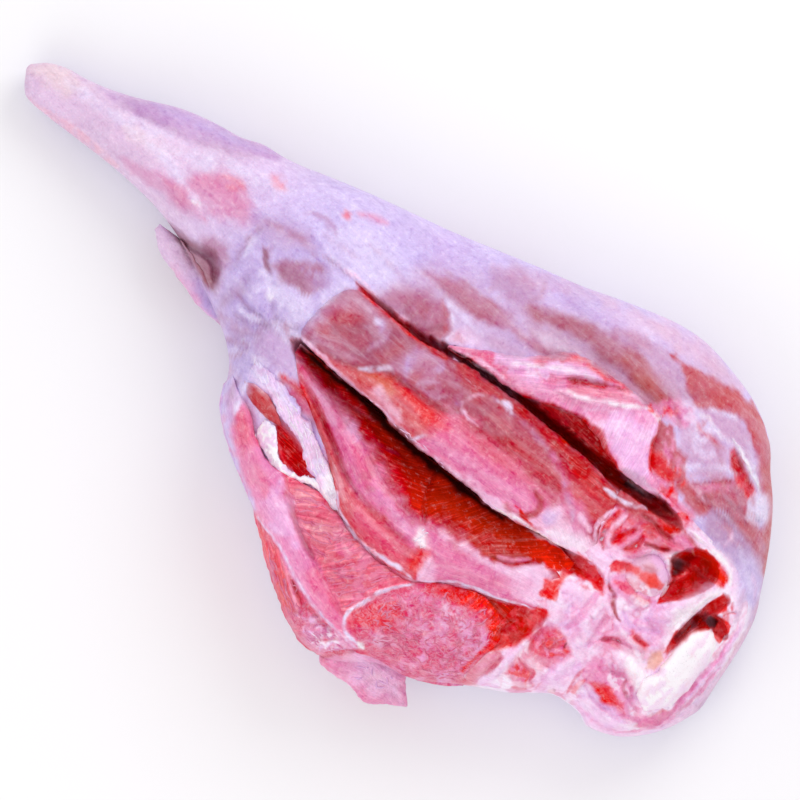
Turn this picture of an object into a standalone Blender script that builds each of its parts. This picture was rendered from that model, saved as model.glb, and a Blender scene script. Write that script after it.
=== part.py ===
"""Raw bone-in leg of lamb, lying on its outer side with the cut inner side up.

+X runs from the shank's tip to the butt, +Y points to the smooth front edge of the thigh
and +Z is up. The origin is on the table, under the middle of the leg's box.
"""
import math

import bmesh
import bpy
import numpy as np
from mathutils import Vector

# Driving dimensions, in metres.
LEG_LENGTH = 0.422
HAUNCH_WIDTH = 0.225
HAUNCH_DEPTH = 0.092

# The tables below are in millimetres, for a leg of exactly these sizes.
TABLE_LENGTH = 422.0
TABLE_WIDTH = 225.0
TABLE_DEPTH = 92.0

SKIN_VOXEL = 0.0030          # grid of the remesh that grows the muscles together
FINE_VOXEL = 0.0026          # grid of the second remesh, after the cuts
TARGET_TRIANGLES = 7900      # of the leg, after decimation
BONE_CLEARANCE = 0.0004      # gap between each bone and the meat round it

# Outline of the leg from tip to butt: x, rear edge y, front edge y, top z, bottom z.
BODY_SECTIONS = [
    (-212, -11.0, -4.0, 18, 9),
    (-208, -16.0, 0.0, 24, 6),
    (-200, -18.5, 4.5, 27, 5),
    (-180, -16.5, 10.5, 31, 5),
    (-160, -15.0, 20.5, 37, 5),
    (-140, -13.5, 30.5, 43, 4),
    (-120, -16.0, 36.0, 48, 3),
    (-100, -20.0, 42.0, 53, 2),
    (-80, -25.0, 48.5, 58, 1),
    (-60, -38.0, 56.5, 63, 0),
    (-40, -57.0, 63.5, 68, -1),
    (-20, -73.0, 69.5, 73, -2),
    (0, -84.0, 76.5, 77, -3),
    (30, -102.0, 88.0, 81, -4),
    (60, -112.0, 100.0, 84, -4),
    (80, -104.0, 108.0, 85, -4),
    (100, -94.0, 111.0, 85, -4),
    (120, -80.0, 109.0, 83, -4),
    (140, -68.0, 104.0, 79, -4),
    (160, -53.0, 88.5, 73, -3),
    (175, -52.0, 74.0, 67, -2),
    (190, -47.0, 53.0, 58, 0),
    (200, -36.0, 34.0, 48, 3),
    (206, -26.0, 14.0, 39, 8),
    (210, -14.0, -4.0, 30, 16),
]
WIDEST_LEVEL = 0.42          # height of the widest line, as a share of the top
TOP_ROUNDNESS = 2.25         # exponents of the section's upper and lower halves
BASE_ROUNDNESS = 3.4

# Muscles, flaps and lumps that swell out of the body: x, y, z, half width, half height.
MUSCLES = {
    "calf_flap": [
        (-118, -22, 28, 3, 6), (-104, -23, 32, 6.5, 9),
        (-88, -23.5, 36, 9.5, 12), (-68, -22, 38, 12, 15),
    ],
    "eye_belly": [
        (-38, 5, 60, 8, 6), (-24, 6, 65, 15, 11), (-4, 8, 68, 15, 12),
        (16, 13, 70, 13, 12), (36, 17, 70, 10, 10),
    ],
    "central_leaf": [
        (-24, -9, 66, 3, 4), (0, -5, 70, 7.5, 9), (30, -3, 74, 10, 12),
        (60, 1, 76, 12.5, 14), (86, 3, 75, 12, 13), (106, 2, 68, 6, 7),
    ],
    "upper_strip": [
        (34, 20, 71, 8, 9), (60, 22, 74, 10, 12), (90, 23, 75, 10, 12),
        (112, 20, 71, 9, 9), (126, 17, 66, 6, 6),
    ],
    "inner_bulge_long": [
        (-24, -24, 48, 5, 8), (0, -25, 52, 9, 12), (30, -27, 55, 12, 15), (48, -28, 55, 9, 14),
    ],
    "inner_bulge_short": [
        (52, -23, 54, 8, 12), (75, -22, 57, 11, 14), (98, -18, 57, 9, 12), (112, -14, 54, 5, 8),
    ],
    "strap_muscle": [
        (-20, -27, 60, 5, 7), (0, -35, 65, 7, 9), (25, -46, 68, 10, 11),
        (50, -50, 69, 9, 11), (70, -48, 68, 7, 9),
    ],
    "forked_ridge": [
        (60, -40, 68, 6, 8), (85, -37, 71, 7, 9), (108, -28, 69, 6, 8), (120, -22, 66, 4, 5),
    ],
    "outer_band": [
        (-42, -50, 44, 6, 10), (-20, -62, 52, 8, 12), (10, -75, 56, 9, 13),
        (40, -87, 56, 8, 12), (70, -97, 48, 5, 9),
    ],
    "folded_flap": [
        (24, 37, 77, 3, 4), (45, 45, 82, 7, 5), (70, 53, 85, 10, 6),
        (96, 58, 84, 11, 6), (110, 55, 81, 8, 5), (122, 47, 77, 4, 4),
    ],
    "tail_flap": [
        (69, -109, 18, 5, 8), (82, -105, 22, 10, 11),
        (95, -103, 22, 12, 10), (112, -100, 18, 3, 5),
    ],
    "rump_fat": [
        (126, -72, 30, 7, 14), (138, -62, 38, 8, 16), (152, -48, 44, 8, 16), (166, -42, 44, 8, 14),
        (184, -41, 40, 9, 14), (196, -32, 36, 6, 12),
    ],
    "socket_rim": [
        (146, 42, 74, 5, 6), (162, 41, 71, 5, 6), (173, 30, 67, 5, 6),
        (172, 12, 64, 6, 7), (164, -4, 62, 8, 7), (146, -8, 64, 7, 6),
    ],
}

# Openings between the muscles: each runs along a line of (x, y, half width, depth) and is
# steep on its +Y side ("steep_front"), or the same on both sides.
CUTS = {
    "long_slit": (True, [
        (-38, -17, 3, 0), (-30, -17, 5, 16), (0, -18, 7, 30),
        (35, -20, 10, 32), (70, -18, 10, 26), (95, -12, 9, 20), (112, -6, 8, 12), (128, -3, 6, 0),
    ]),
    "narrow_slit": (False, [
        (-48, 22.5, 1.5, 0), (-30, 22.5, 3, 10), (0, 24, 4.5, 20), (30, 31.5, 5.5, 28),
        (60, 35.5, 6.5, 30), (90, 37, 7.5, 30), (120, 39, 7, 24), (142, 40, 5, 10), (150, 40, 3, 0),
    ]),
    "fat_pocket": (True, [
        (-20, -46, 2, 0), (-8, -51, 4, 9), (2, -55, 4.5, 10), (10, -57, 3, 0),
    ]),
    "calf_gap": (False, [
        (-120, -16, 3, 14), (-104, -15, 3, 14), (-92, -14, 3.5, 11), (-80, -22, 3, 4),
    ]),
    "hip_socket": (False, [
        (156, 34, 6, 12), (163, 32, 8, 22), (166, 22, 7, 22), (161, 11, 4, 12),
    ]),
    "hip_bone_gap": (False, [
        (184, 30, 3, 8), (179, 20, 3, 14), (177.5, 8, 3, 12), (178.5, -6, 2, 6),
    ]),
    "rump_hole": (False, [
        (184, 20, 4, 10), (192, 19, 4.5, 11),
    ]),
    "rump_hollow": (False, [
        (100, -44, 5, 3), (112, -38, 8, 8), (121, -36, 8, 12), (120, -52, 5, 7), (118, -70, 3, 3),
    ]),
    "centre_hollow": (False, [
        (112, -5, 4, 6), (124, -2, 5, 9), (136, 0, 4, 4),
    ]),
    "rump_cut": (False, [
        (4, -66, 5, 1), (34, -70, 12, 6), (62, -74, 17, 9), (90, -70, 20, 9), (112, -62, 10, 4),
    ]),
    "ball_seat": (False, [
        (140, 20, 11, 8), (147, 14, 16, 12), (154, 8, 12, 9),
    ]),
    "hip_bone_seat": (False, [
        (186, 18, 7, 4), (189, 0, 10, 7), (190, -28, 9, 5),
    ]),
}

# Thigh bone's ball and the sawn end of the hip bone, in millimetres.
BALL_CENTRE = (147, 14, 66)
BALL_RADIUS = 13.0
NECK_RADIUS = 8.5
NECK_END = (134, 5, 50)
HIP_BONE = [
    (186, 17, 55, 6, 9), (187.5, 8, 56, 8, 10), (189, -6, 55, 9, 10),
    (190.5, -18, 52, 8.5, 10), (190, -28, 49, 6, 9),
]


def scaled(x, y, z):
    """A point of the tables, in metres on a leg of the driving sizes."""
    return Vector((
        x * LEG_LENGTH / TABLE_LENGTH,
        y * HAUNCH_WIDTH / TABLE_WIDTH,
        z * HAUNCH_DEPTH / TABLE_DEPTH,
    ))


def smooth_rows(rows, shares):
    """Rows of a table read at these shares of its length, along a smooth curve through them."""
    rows = np.array(rows, float)
    knots = np.linspace(0.0, 1.0, len(rows))
    slopes = np.gradient(rows, knots, axis=0)
    spans = np.clip(np.searchsorted(knots, shares, side="right") - 1, 0, len(rows) - 2)
    width = (knots[spans + 1] - knots[spans])[:, None]
    t = ((shares - knots[spans]) / width[:, 0])[:, None]
    start, end = rows[spans], rows[spans + 1]
    return (
        (2 * t**3 - 3 * t**2 + 1) * start
        + (t**3 - 2 * t**2 + t) * width * slopes[spans]
        + (3 * t**2 - 2 * t**3) * end
        + (t**3 - t**2) * width * slopes[spans + 1]
    )


def signed_power(value, exponent):
    return math.copysign(abs(value) ** exponent, value)


def new_object(name, bm, collection):
    mesh = bpy.data.meshes.new(name)
    bm.to_mesh(mesh)
    bm.free()
    made = bpy.data.objects.new(name, mesh)
    collection.objects.link(made)
    return made


def sphere_to_skin(around, along, place):
    """A UV sphere whose points go where place(share along the axis, angle round it) says."""
    bm = bmesh.new()
    bmesh.ops.create_uvsphere(bm, u_segments=around, v_segments=along, radius=1.0)
    for vert in bm.verts:
        share = math.acos(max(-1.0, min(1.0, -vert.co.z))) / math.pi
        vert.co = place(share, math.atan2(vert.co.y, vert.co.x))
    bm.normal_update()
    bmesh.ops.recalc_face_normals(bm, faces=bm.faces)
    return bm


def body_skin():
    """The whole leg's form, before its muscles: one skin through the sections."""
    rings = 120
    rows = smooth_rows(BODY_SECTIONS, np.linspace(0.0, 1.0, rings + 1))

    def place(share, angle):
        x, rear, front, top, bottom = rows[round(share * rings)]
        middle = bottom + WIDEST_LEVEL * (top - bottom)
        half_width = (front - rear) / 2
        upper = math.sin(angle) > 0
        exponent = 2 / (TOP_ROUNDNESS if upper else BASE_ROUNDNESS)
        across = signed_power(math.cos(angle), exponent)
        up = signed_power(math.sin(angle), exponent)
        height = (top - middle) if upper else (middle - bottom)
        return scaled(x, (front + rear) / 2 + half_width * across, middle + height * up)

    return sphere_to_skin(72, rings, place)


def muscle_skin(stations, around=16, rings=22):
    """A muscle's spindle along its own line, with an elliptical section."""
    rows = smooth_rows(stations, np.linspace(0.0, 1.0, rings + 1))
    headings = np.gradient(rows[:, :2], axis=0)
    headings /= np.linalg.norm(headings, axis=1)[:, None]

    def place(share, angle):
        ring = round(share * rings)
        x, y, z, half_width, half_height = rows[ring]
        swell = math.sqrt(max(0.0, 1.0 - (2 * share - 1) ** 6))
        across = half_width * swell * math.cos(angle)
        up = half_height * swell * math.sin(angle)
        forward = headings[ring]
        return scaled(x - across * forward[1], y + across * forward[0], z + up)

    return sphere_to_skin(around, rings, place)


def cut_depth(points, steep_front, line):
    """How far each plan point sinks into a cut, in table millimetres."""
    rows = smooth_rows(line, np.linspace(0.0, 1.0, 60))
    offsets = points[:, None, :] - rows[None, :, :2]
    nearest = np.argmin((offsets**2).sum(axis=2), axis=1)
    away = np.linalg.norm(offsets[np.arange(len(points)), nearest], axis=1)
    _, _, half_width, depth = rows[nearest].T
    share = np.clip(away / np.maximum(half_width, 0.5), 0.0, 1.0)
    bowl = 1.0 - share**2
    if steep_front:
        in_front = offsets[np.arange(len(points)), nearest, 1] > 0
        bowl = np.where(in_front, 1.0 - share**6, bowl)
    return depth * bowl


def press_cuts(mesh):
    """Sinks the leg's upper side along every cut."""
    factors = np.array(scaled(1, 1, 1))
    points = np.empty(len(mesh.vertices) * 3)
    normals = np.empty(len(mesh.vertices) * 3)
    mesh.vertices.foreach_get("co", points)
    mesh.vertices.foreach_get("normal", normals)
    points = points.reshape(-1, 3) / factors
    facing = np.clip(normals.reshape(-1, 3)[:, 2] * 3.0, 0.0, 1.0)
    sunk = np.zeros(len(points))
    for steep_front, line in CUTS.values():
        sunk = np.maximum(sunk, cut_depth(points[:, :2], steep_front, line))
    points[:, 2] -= sunk * facing
    mesh.vertices.foreach_set("co", (points * factors).ravel())


def settle(mesh):
    """The base flattens where the meat rests on the table."""
    for vert in mesh.vertices:
        vert.co.z = max(vert.co.z, 0.0)


def evaluated_copy(source):
    """The object's mesh with its modifiers, as a mesh of its own."""
    graph = bpy.context.evaluated_depsgraph_get()
    return bpy.data.meshes.new_from_object(source.evaluated_get(graph))


def add_remesh(target, voxel):
    modifier = target.modifiers.new("grow_together", "REMESH")
    modifier.mode = "VOXEL"
    modifier.voxel_size = voxel
    modifier.use_smooth_shade = True


def add_smooth(target, factor, repeats):
    modifier = target.modifiers.new("soften", "SMOOTH")
    modifier.factor = factor
    modifier.iterations = repeats


def replace_mesh(target, mesh):
    old = target.data
    target.data = mesh
    target.modifiers.clear()
    bpy.data.meshes.remove(old)


def grown_leg(collection):
    """Body and muscles grown into one skin, cut along the slits and set down on the table."""
    bm = body_skin()
    for stations in MUSCLES.values():
        part = bpy.data.meshes.new("muscle")
        skin = muscle_skin(stations)
        skin.to_mesh(part)
        skin.free()
        bm.from_mesh(part)
        bpy.data.meshes.remove(part)
    leg = new_object("leg_meat", bm, collection)
    add_remesh(leg, SKIN_VOXEL)
    add_smooth(leg, 0.5, 3)
    replace_mesh(leg, evaluated_copy(leg))
    press_cuts(leg.data)
    add_remesh(leg, FINE_VOXEL)
    add_smooth(leg, 0.5, 2)
    replace_mesh(leg, evaluated_copy(leg))
    return leg


def thin_out(leg):
    """Fewer triangles where the surface is plain."""
    leg.data.calc_loop_triangles()
    modifier = leg.modifiers.new("thin_out", "DECIMATE")
    modifier.ratio = TARGET_TRIANGLES / len(leg.data.loop_triangles)
    replace_mesh(leg, evaluated_copy(leg))
    settle(leg.data)


def ball_skin(grow=0.0):
    """The thigh bone's ball on its neck; grow adds to every radius, in table millimetres."""
    centre, end = np.array(BALL_CENTRE, float), np.array(NECK_END, float)
    length = np.linalg.norm(end - centre) + NECK_RADIUS
    axis = (centre - end) / np.linalg.norm(centre - end)
    side = np.cross(axis, (0.0, 0.0, 1.0))
    side /= np.linalg.norm(side)
    lift = np.cross(side, axis)
    radius, neck = BALL_RADIUS + grow, NECK_RADIUS + grow

    def place(share, angle):
        turn = math.pi * share
        back = radius - (radius + length + grow) * (1 - math.cos(turn)) / 2
        on_ball = math.sqrt(max(0.0, radius**2 - back**2)) if back > -radius else 0.0
        rounded = 1.0 - max(0.0, (-back - length + 3.0) / (3.0 + grow)) ** 2
        on_neck = neck * math.sqrt(max(0.0, rounded)) if back < 0 else 0.0
        wide = max(on_ball, on_neck)
        point = centre + axis * back + wide * (math.cos(angle) * side + math.sin(angle) * lift)
        return scaled(*point)

    return sphere_to_skin(20, 18, place)


def grown_stations(stations, grow):
    """The same stations with every radius and both ends grown, for a socket."""
    first, last = np.array(stations[0], float), np.array(stations[-1], float)
    along = (last[:3] - first[:3]) / np.linalg.norm(last[:3] - first[:3])
    rows = [[*row[:3], row[3] + grow, row[4] + grow] for row in stations]
    rows[0][:3] = first[:3] - grow * along
    rows[-1][:3] = last[:3] + grow * along
    return rows


def cut_socket(leg, cutter):
    modifier = leg.modifiers.new("socket_" + cutter.name, "BOOLEAN")
    modifier.operation = "DIFFERENCE"
    modifier.solver = "EXACT"
    modifier.object = cutter


def centre_over_origin(objects):
    """Moves the meshes together until the origin is under the middle of their box."""
    corners = [vert.co for made in objects[:3] for vert in made.data.vertices]
    low = [min(corner[k] for corner in corners) for k in range(2)]
    high = [max(corner[k] for corner in corners) for k in range(2)]
    shift = Vector((-(low[0] + high[0]) / 2, -(low[1] + high[1]) / 2, 0.0))
    for made in objects:
        for vert in made.data.vertices:
            vert.co += shift


def finish_material(name, colour, roughness):
    material = bpy.data.materials.new(name)
    material.use_nodes = True
    shader = material.node_tree.nodes["Principled BSDF"]
    shader.inputs["Base Color"].default_value = (*colour, 1.0)
    shader.inputs["Roughness"].default_value = roughness
    shader.inputs["Metallic"].default_value = 0.0
    return material


def main():
    for old in list(bpy.data.objects):
        bpy.data.objects.remove(old)
    parts = bpy.data.collections.new("leg_of_lamb")
    cutters = bpy.data.collections.new("cutters")
    bpy.context.scene.collection.children.link(parts)
    bpy.context.scene.collection.children.link(cutters)

    meat = finish_material("raw_meat", (0.72, 0.30, 0.32), 0.45)
    bone = finish_material("bone", (0.90, 0.84, 0.80), 0.5)

    leg = grown_leg(parts)
    thin_out(leg)
    femur = new_object("femur_head", ball_skin(), parts)
    hip = new_object("hip_bone", muscle_skin(HIP_BONE), parts)
    grow = BONE_CLEARANCE * 1000
    sockets = [
        new_object("femur_socket", ball_skin(grow), cutters),
        new_object("hip_socket", muscle_skin(grown_stations(HIP_BONE, grow)), cutters),
    ]
    centre_over_origin([leg, femur, hip, *sockets])
    for cutter in sockets:
        cutter.hide_render = True
        cutter.display_type = "WIRE"
        cut_socket(leg, cutter)
    for made, material in ((leg, meat), (femur, bone), (hip, bone)):
        made.data.materials.clear()
        made.data.materials.append(material)
        made.data.shade_smooth()


main()
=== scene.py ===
import math

import bpy
import bmesh
import numpy as np
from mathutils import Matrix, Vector


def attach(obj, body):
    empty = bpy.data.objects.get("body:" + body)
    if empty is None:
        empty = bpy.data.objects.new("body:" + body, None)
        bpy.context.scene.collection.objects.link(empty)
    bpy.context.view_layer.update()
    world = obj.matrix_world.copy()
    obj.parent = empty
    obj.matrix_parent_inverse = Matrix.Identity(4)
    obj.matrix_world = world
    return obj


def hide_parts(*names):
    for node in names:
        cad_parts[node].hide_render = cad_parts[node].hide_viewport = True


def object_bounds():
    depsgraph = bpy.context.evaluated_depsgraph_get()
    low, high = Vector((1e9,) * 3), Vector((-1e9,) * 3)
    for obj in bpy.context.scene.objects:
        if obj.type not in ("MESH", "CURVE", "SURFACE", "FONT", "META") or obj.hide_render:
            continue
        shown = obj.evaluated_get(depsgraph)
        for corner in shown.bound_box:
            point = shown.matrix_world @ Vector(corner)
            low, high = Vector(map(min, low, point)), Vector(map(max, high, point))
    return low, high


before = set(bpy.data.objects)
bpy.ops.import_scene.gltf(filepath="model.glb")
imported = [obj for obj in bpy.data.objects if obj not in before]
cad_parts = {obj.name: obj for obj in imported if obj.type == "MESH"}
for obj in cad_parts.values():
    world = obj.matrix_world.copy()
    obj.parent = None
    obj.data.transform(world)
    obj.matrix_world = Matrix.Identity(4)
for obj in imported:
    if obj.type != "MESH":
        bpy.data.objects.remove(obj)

cadLow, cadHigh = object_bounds()
scene = bpy.context.scene

# The leg is drawn in plan millimetres: x from shank to butt, y to the smooth front edge, z up.
plan = {
    "length": 420.9,              # of the modelled leg, which sets the millimetre
    "middle": (-0.85, -2.05),     # plan place of the middle of the leg's box
}
mm = (cadHigh.x - cadLow.x) / plan["length"]
boxMiddle = ((cadLow.x + cadHigh.x) / 2, (cadLow.y + cadHigh.y) / 2)


def toWorld(points):
    # plan millimetres to metres in the frame
    out = np.array(points, float)
    out[:, 0] = (out[:, 0] - plan["middle"][0]) * mm + boxMiddle[0]
    out[:, 1] = (out[:, 1] - plan["middle"][1]) * mm + boxMiddle[1]
    out[:, 2] = out[:, 2] * mm + cadLow.z
    return out


palette = {                       # red, green and blue, 0..255
    "fascia": (214, 196, 240),
    "fasciaWhite": (236, 224, 252),
    "kneeFascia": (192, 168, 218),
    "shankSkin": (228, 198, 228),
    "mauve": (196, 156, 204),
    "lavender": (200, 172, 223),
    "rose": (196, 130, 152),
    "bandRose": (172, 88, 104),
    "rustRose": (182, 88, 80),
    "paleBand": (194, 134, 158),
    "greyRose": (196, 152, 186),
    "brownRose": (196, 88, 92),
    "duskyRose": (200, 104, 118),
    "greyLilac": (206, 164, 194),
    "belly": (178, 92, 114),
    "strip": (186, 66, 74),
    "stripRed": (188, 44, 28),
    "leafRose": (218, 104, 110),
    "leafPink": (230, 112, 142),
    "pink": (233, 136, 180),
    "flapPink": (237, 155, 194),
    "lilac": (242, 192, 236),
    "strap": (230, 100, 132),
    "rust": (196, 80, 84),
    "flesh": (230, 112, 142),
    "cutPink": (240, 156, 196),
    "cutRed": (228, 104, 128),
    "outerPink": (238, 152, 198),
    "outerRose": (227, 114, 132),
    "coral": (238, 78, 76),
    "ember": (238, 44, 22),
    "deep": (196, 30, 10),
    "deepRose": (186, 60, 48),
    "wine": (120, 14, 8),
    "shadowBlack": (42, 4, 2),
    "pinkWhite": (252, 212, 242),
    "fat": (254, 238, 254),
    "white": (255, 250, 255),
    "bone": (255, 248, 254),
    "cream": (248, 226, 214),
    "peach": (240, 192, 214),
    "tan": (240, 182, 160),
    "shankRose": (221, 156, 195),
    "bellyRose": (176, 110, 140),
    "mauveGrey": (186, 138, 176),
    "flankRose": (182, 106, 134),
    "skinLilac": (208, 166, 200),
    "rimRose": (218, 150, 165),
    "plum": (150, 84, 112),
    "ochreRose": (214, 122, 100),
    "membrane": (204, 158, 196),
    "leafMid": (231, 128, 166),
    "gapShade": (150, 80, 92),
    "marble": (238, 142, 172),
}


def linear(name):
    # palette colour as the shaders want it
    srgb = np.array(palette[name], float) / 255
    return np.where(srgb <= 0.04045, srgb / 12.92, ((srgb + 0.055) / 1.055) ** 2.4)


def towards(colour, name, share):
    # colours moved that share of the way, 0..1, to one of the palette
    return colour + (linear(name) - colour) * share


def smoothRows(rows, shares):
    # rows of a table read along a smooth curve through them, at shares 0..1
    rows = np.array(rows, float)
    knots = np.linspace(0, 1, len(rows))
    slopes = np.gradient(rows, knots, axis=0)
    span = np.clip(np.searchsorted(knots, shares, side="right") - 1, 0, len(rows) - 2)
    width = (knots[span + 1] - knots[span])[:, None]
    t = (np.asarray(shares) - knots[span])[:, None] / width
    a, b = rows[span], rows[span + 1]
    return ((2 * t**3 - 3 * t**2 + 1) * a + (t**3 - 2 * t**2 + t) * width * slopes[span]
            + (3 * t**2 - 2 * t**3) * b + (t**3 - t**2) * width * slopes[span + 1])


def evenCurve(points, count):
    # a smooth curve through the points, read at equal steps of its length
    dense = smoothRows(points, np.linspace(0, 1, 40 * len(points)))
    steps = np.linalg.norm(np.diff(dense[:, :2], axis=0), axis=1)
    walked = np.concatenate([[0], np.cumsum(steps)])
    wanted = np.linspace(0, walked[-1], count)
    return np.stack([np.interp(wanted, walked, dense[:, k]) for k in range(dense.shape[1])], axis=1)


cellHash = {"x": 374761393, "y": 668265263, "seed": 974711, "keep": 0x7FFFFFFF,
            "mixes": ((13, 1274126177), (16, 60493))}


def lattice(ix, iy, seed):
    # a repeatable random number, 0..1, for each whole-number cell
    n = ix.astype(np.int64) * cellHash["x"] + iy.astype(np.int64) * cellHash["y"] + seed * cellHash["seed"]
    n = n & cellHash["keep"]
    for shift, factor in cellHash["mixes"]:
        n = ((n ^ (n >> shift)) * factor) & cellHash["keep"]
    return (n % 65536) / 65535.0


def noiseAt(x, y, size, seed=0, octaves=1):
    # smooth noise, about -1..1, with blobs of that size in millimetres
    total, weight, reach = 0.0, 1.0, 0.0
    for octave in range(octaves):
        px, py = x / size + 31.7 * octave, y / size + 17.3 * octave
        ix, iy = np.floor(px), np.floor(py)
        fx, fy = px - ix, py - iy
        fx, fy = fx * fx * (3 - 2 * fx), fy * fy * (3 - 2 * fy)
        corners = [lattice(ix + dx, iy + dy, seed + 101 * octave) for dy in (0, 1) for dx in (0, 1)]
        low = corners[0] * (1 - fx) + corners[1] * fx
        high = corners[2] * (1 - fx) + corners[3] * fx
        total = total + weight * (2 * (low * (1 - fy) + high * fy) - 1)
        reach += weight
        weight *= 0.5
        size = size * 0.5
    return total / reach


def smoothStep(low, high, value):
    t = np.clip((value - low) / (high - low), 0, 1)
    return t * t * (3 - 2 * t)


def lineDistance(x, y, points, closed=False):
    # distance to a run of straight stretches, and the share along it
    points = np.array(points, float)[:, :2]
    if closed:
        points = np.vstack([points, points[:1]])
    best = np.full(x.shape, 1e9)
    share = np.zeros(x.shape)
    lengths = np.linalg.norm(np.diff(points, axis=0), axis=1)
    total = max(lengths.sum(), 1e-6)
    walked = 0.0
    for k in range(len(points) - 1):
        a, d = points[k], points[k + 1] - points[k]
        t = np.clip(((x - a[0]) * d[0] + (y - a[1]) * d[1]) / max(d @ d, 1e-9), 0, 1)
        away = np.hypot(x - a[0] - t * d[0], y - a[1] - t * d[1])
        closer = away < best
        best = np.where(closer, away, best)
        share = np.where(closer, (walked + t * lengths[k]) / total, share)
        walked += lengths[k]
    return best, share


def insideOutline(x, y, outline):
    # signed distance to a closed outline, above zero inside
    away, _ = lineDistance(x, y, outline, closed=True)
    inside = np.zeros(x.shape, bool)
    count = len(outline)
    for k in range(count):
        (ax, ay), (bx, by) = outline[k], outline[(k + 1) % count]
        crosses = (ay > y) != (by > y)
        at = ax + (y - ay) * (bx - ax) / ((by - ay) if by != ay else 1e-9)
        inside ^= crosses & (x < at)
    return np.where(inside, away, -away)


def nearBy(x, y, points, reach):
    # which places lie in the points' box, widened by the reach
    low, high = points.min(axis=0) - reach, points.max(axis=0) + reach
    return (x > low[0]) & (x < high[0]) & (y > low[1]) & (y < high[1])


def curveThrough(points):
    return evenCurve(points, 6 * len(points)) if len(points) > 2 else np.array(points, float)


leg = {
    "frontEdge": [
        (-213, -5), (-208, 0.5), (-200, 4.5), (-190, 7), (-180, 10.5), (-170, 15), (-160, 20.5), (-150, 26),
        (-140, 30), (-130, 33), (-120, 35.5), (-110, 40), (-100, 42), (-90, 45), (-80, 49), (-64, 55),
        (-48, 60.5), (-20, 69.5), (0, 77), (20, 84.5), (40, 91.5), (55, 98), (70, 104), (85, 109),
        (100, 111), (120, 109), (135, 105.5), (150, 98), (160, 88), (170, 79), (180, 67), (188, 55.5),
        (194, 46), (200, 36), (204, 23), (207, 8), (210, -8),
    ],
    "rearEdge": [
        (-213, -9), (-208, -15.5), (-203, -18), (-190, -17.5), (-170, -15.5), (-150, -14), (-130, -14),
        (-115, -16), (-100, -20), (-85, -26), (-69, -33), (-60, -38), (-52, -45), (-45, -56), (-38, -64),
        (-30, -69), (-20, -74), (0, -84), (25, -100), (45, -110), (60, -113), (73, -109), (88, -97),
        (105, -91), (120, -80), (132, -72), (140, -67), (148, -60), (157, -53), (170, -51), (178, -53),
        (190, -48), (197, -42), (203, -34), (207, -26), (210, -16),
    ],
    "heights": [                  # x, top, base
        (-213, 22, 9), (-208, 25, 7), (-200, 27.5, 5), (-180, 31, 5), (-160, 37, 5), (-140, 43, 4),
        (-120, 48, 3), (-100, 53, 2), (-80, 58, 1), (-60, 63, 0), (-40, 67, -1), (-20, 71, -2),
        (0, 75, -3), (30, 79, -4), (60, 82, -4), (80, 83, -4), (100, 83, -4), (120, 81, -4),
        (140, 77, -4), (160, 71, -3), (175, 65, -2), (190, 56, 0), (200, 47, 3), (206, 38, 8), (210, 29, 15),
    ],
    "tips": [(-213.4, -7, 15), (210.4, -12, 22)],   # where the shank's end and the butt close
    "widestAt": 0.42,
    "topRound": 2.35,
    "baseRound": 3.4,
    "rings": 310,
    "topPoints": 168,
    "basePoints": 74,
}


def tableAt(rows, x):
    # columns of a table whose first column is x, read at these x
    fine = smoothRows(rows, np.linspace(0, 1, 1600))
    return [np.interp(x, fine[:, 0], fine[:, k]) for k in range(1, fine.shape[1])]


def sectionAt(x):
    front, = tableAt(leg["frontEdge"], x)
    rear, = tableAt(leg["rearEdge"], x)
    top, base = tableAt(leg["heights"], x)
    return rear, front, top, base


def topAt(x, y):
    # height of the plain leg's upper side
    rear, front, top, base = sectionAt(x)
    middle = base + leg["widestAt"] * (top - base)
    share = np.clip(np.abs(y - (front + rear) / 2) / ((front - rear) / 2), 0, 1)
    return middle + (top - middle) * (1 - share ** leg["topRound"]) ** (1 / leg["topRound"])


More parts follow.
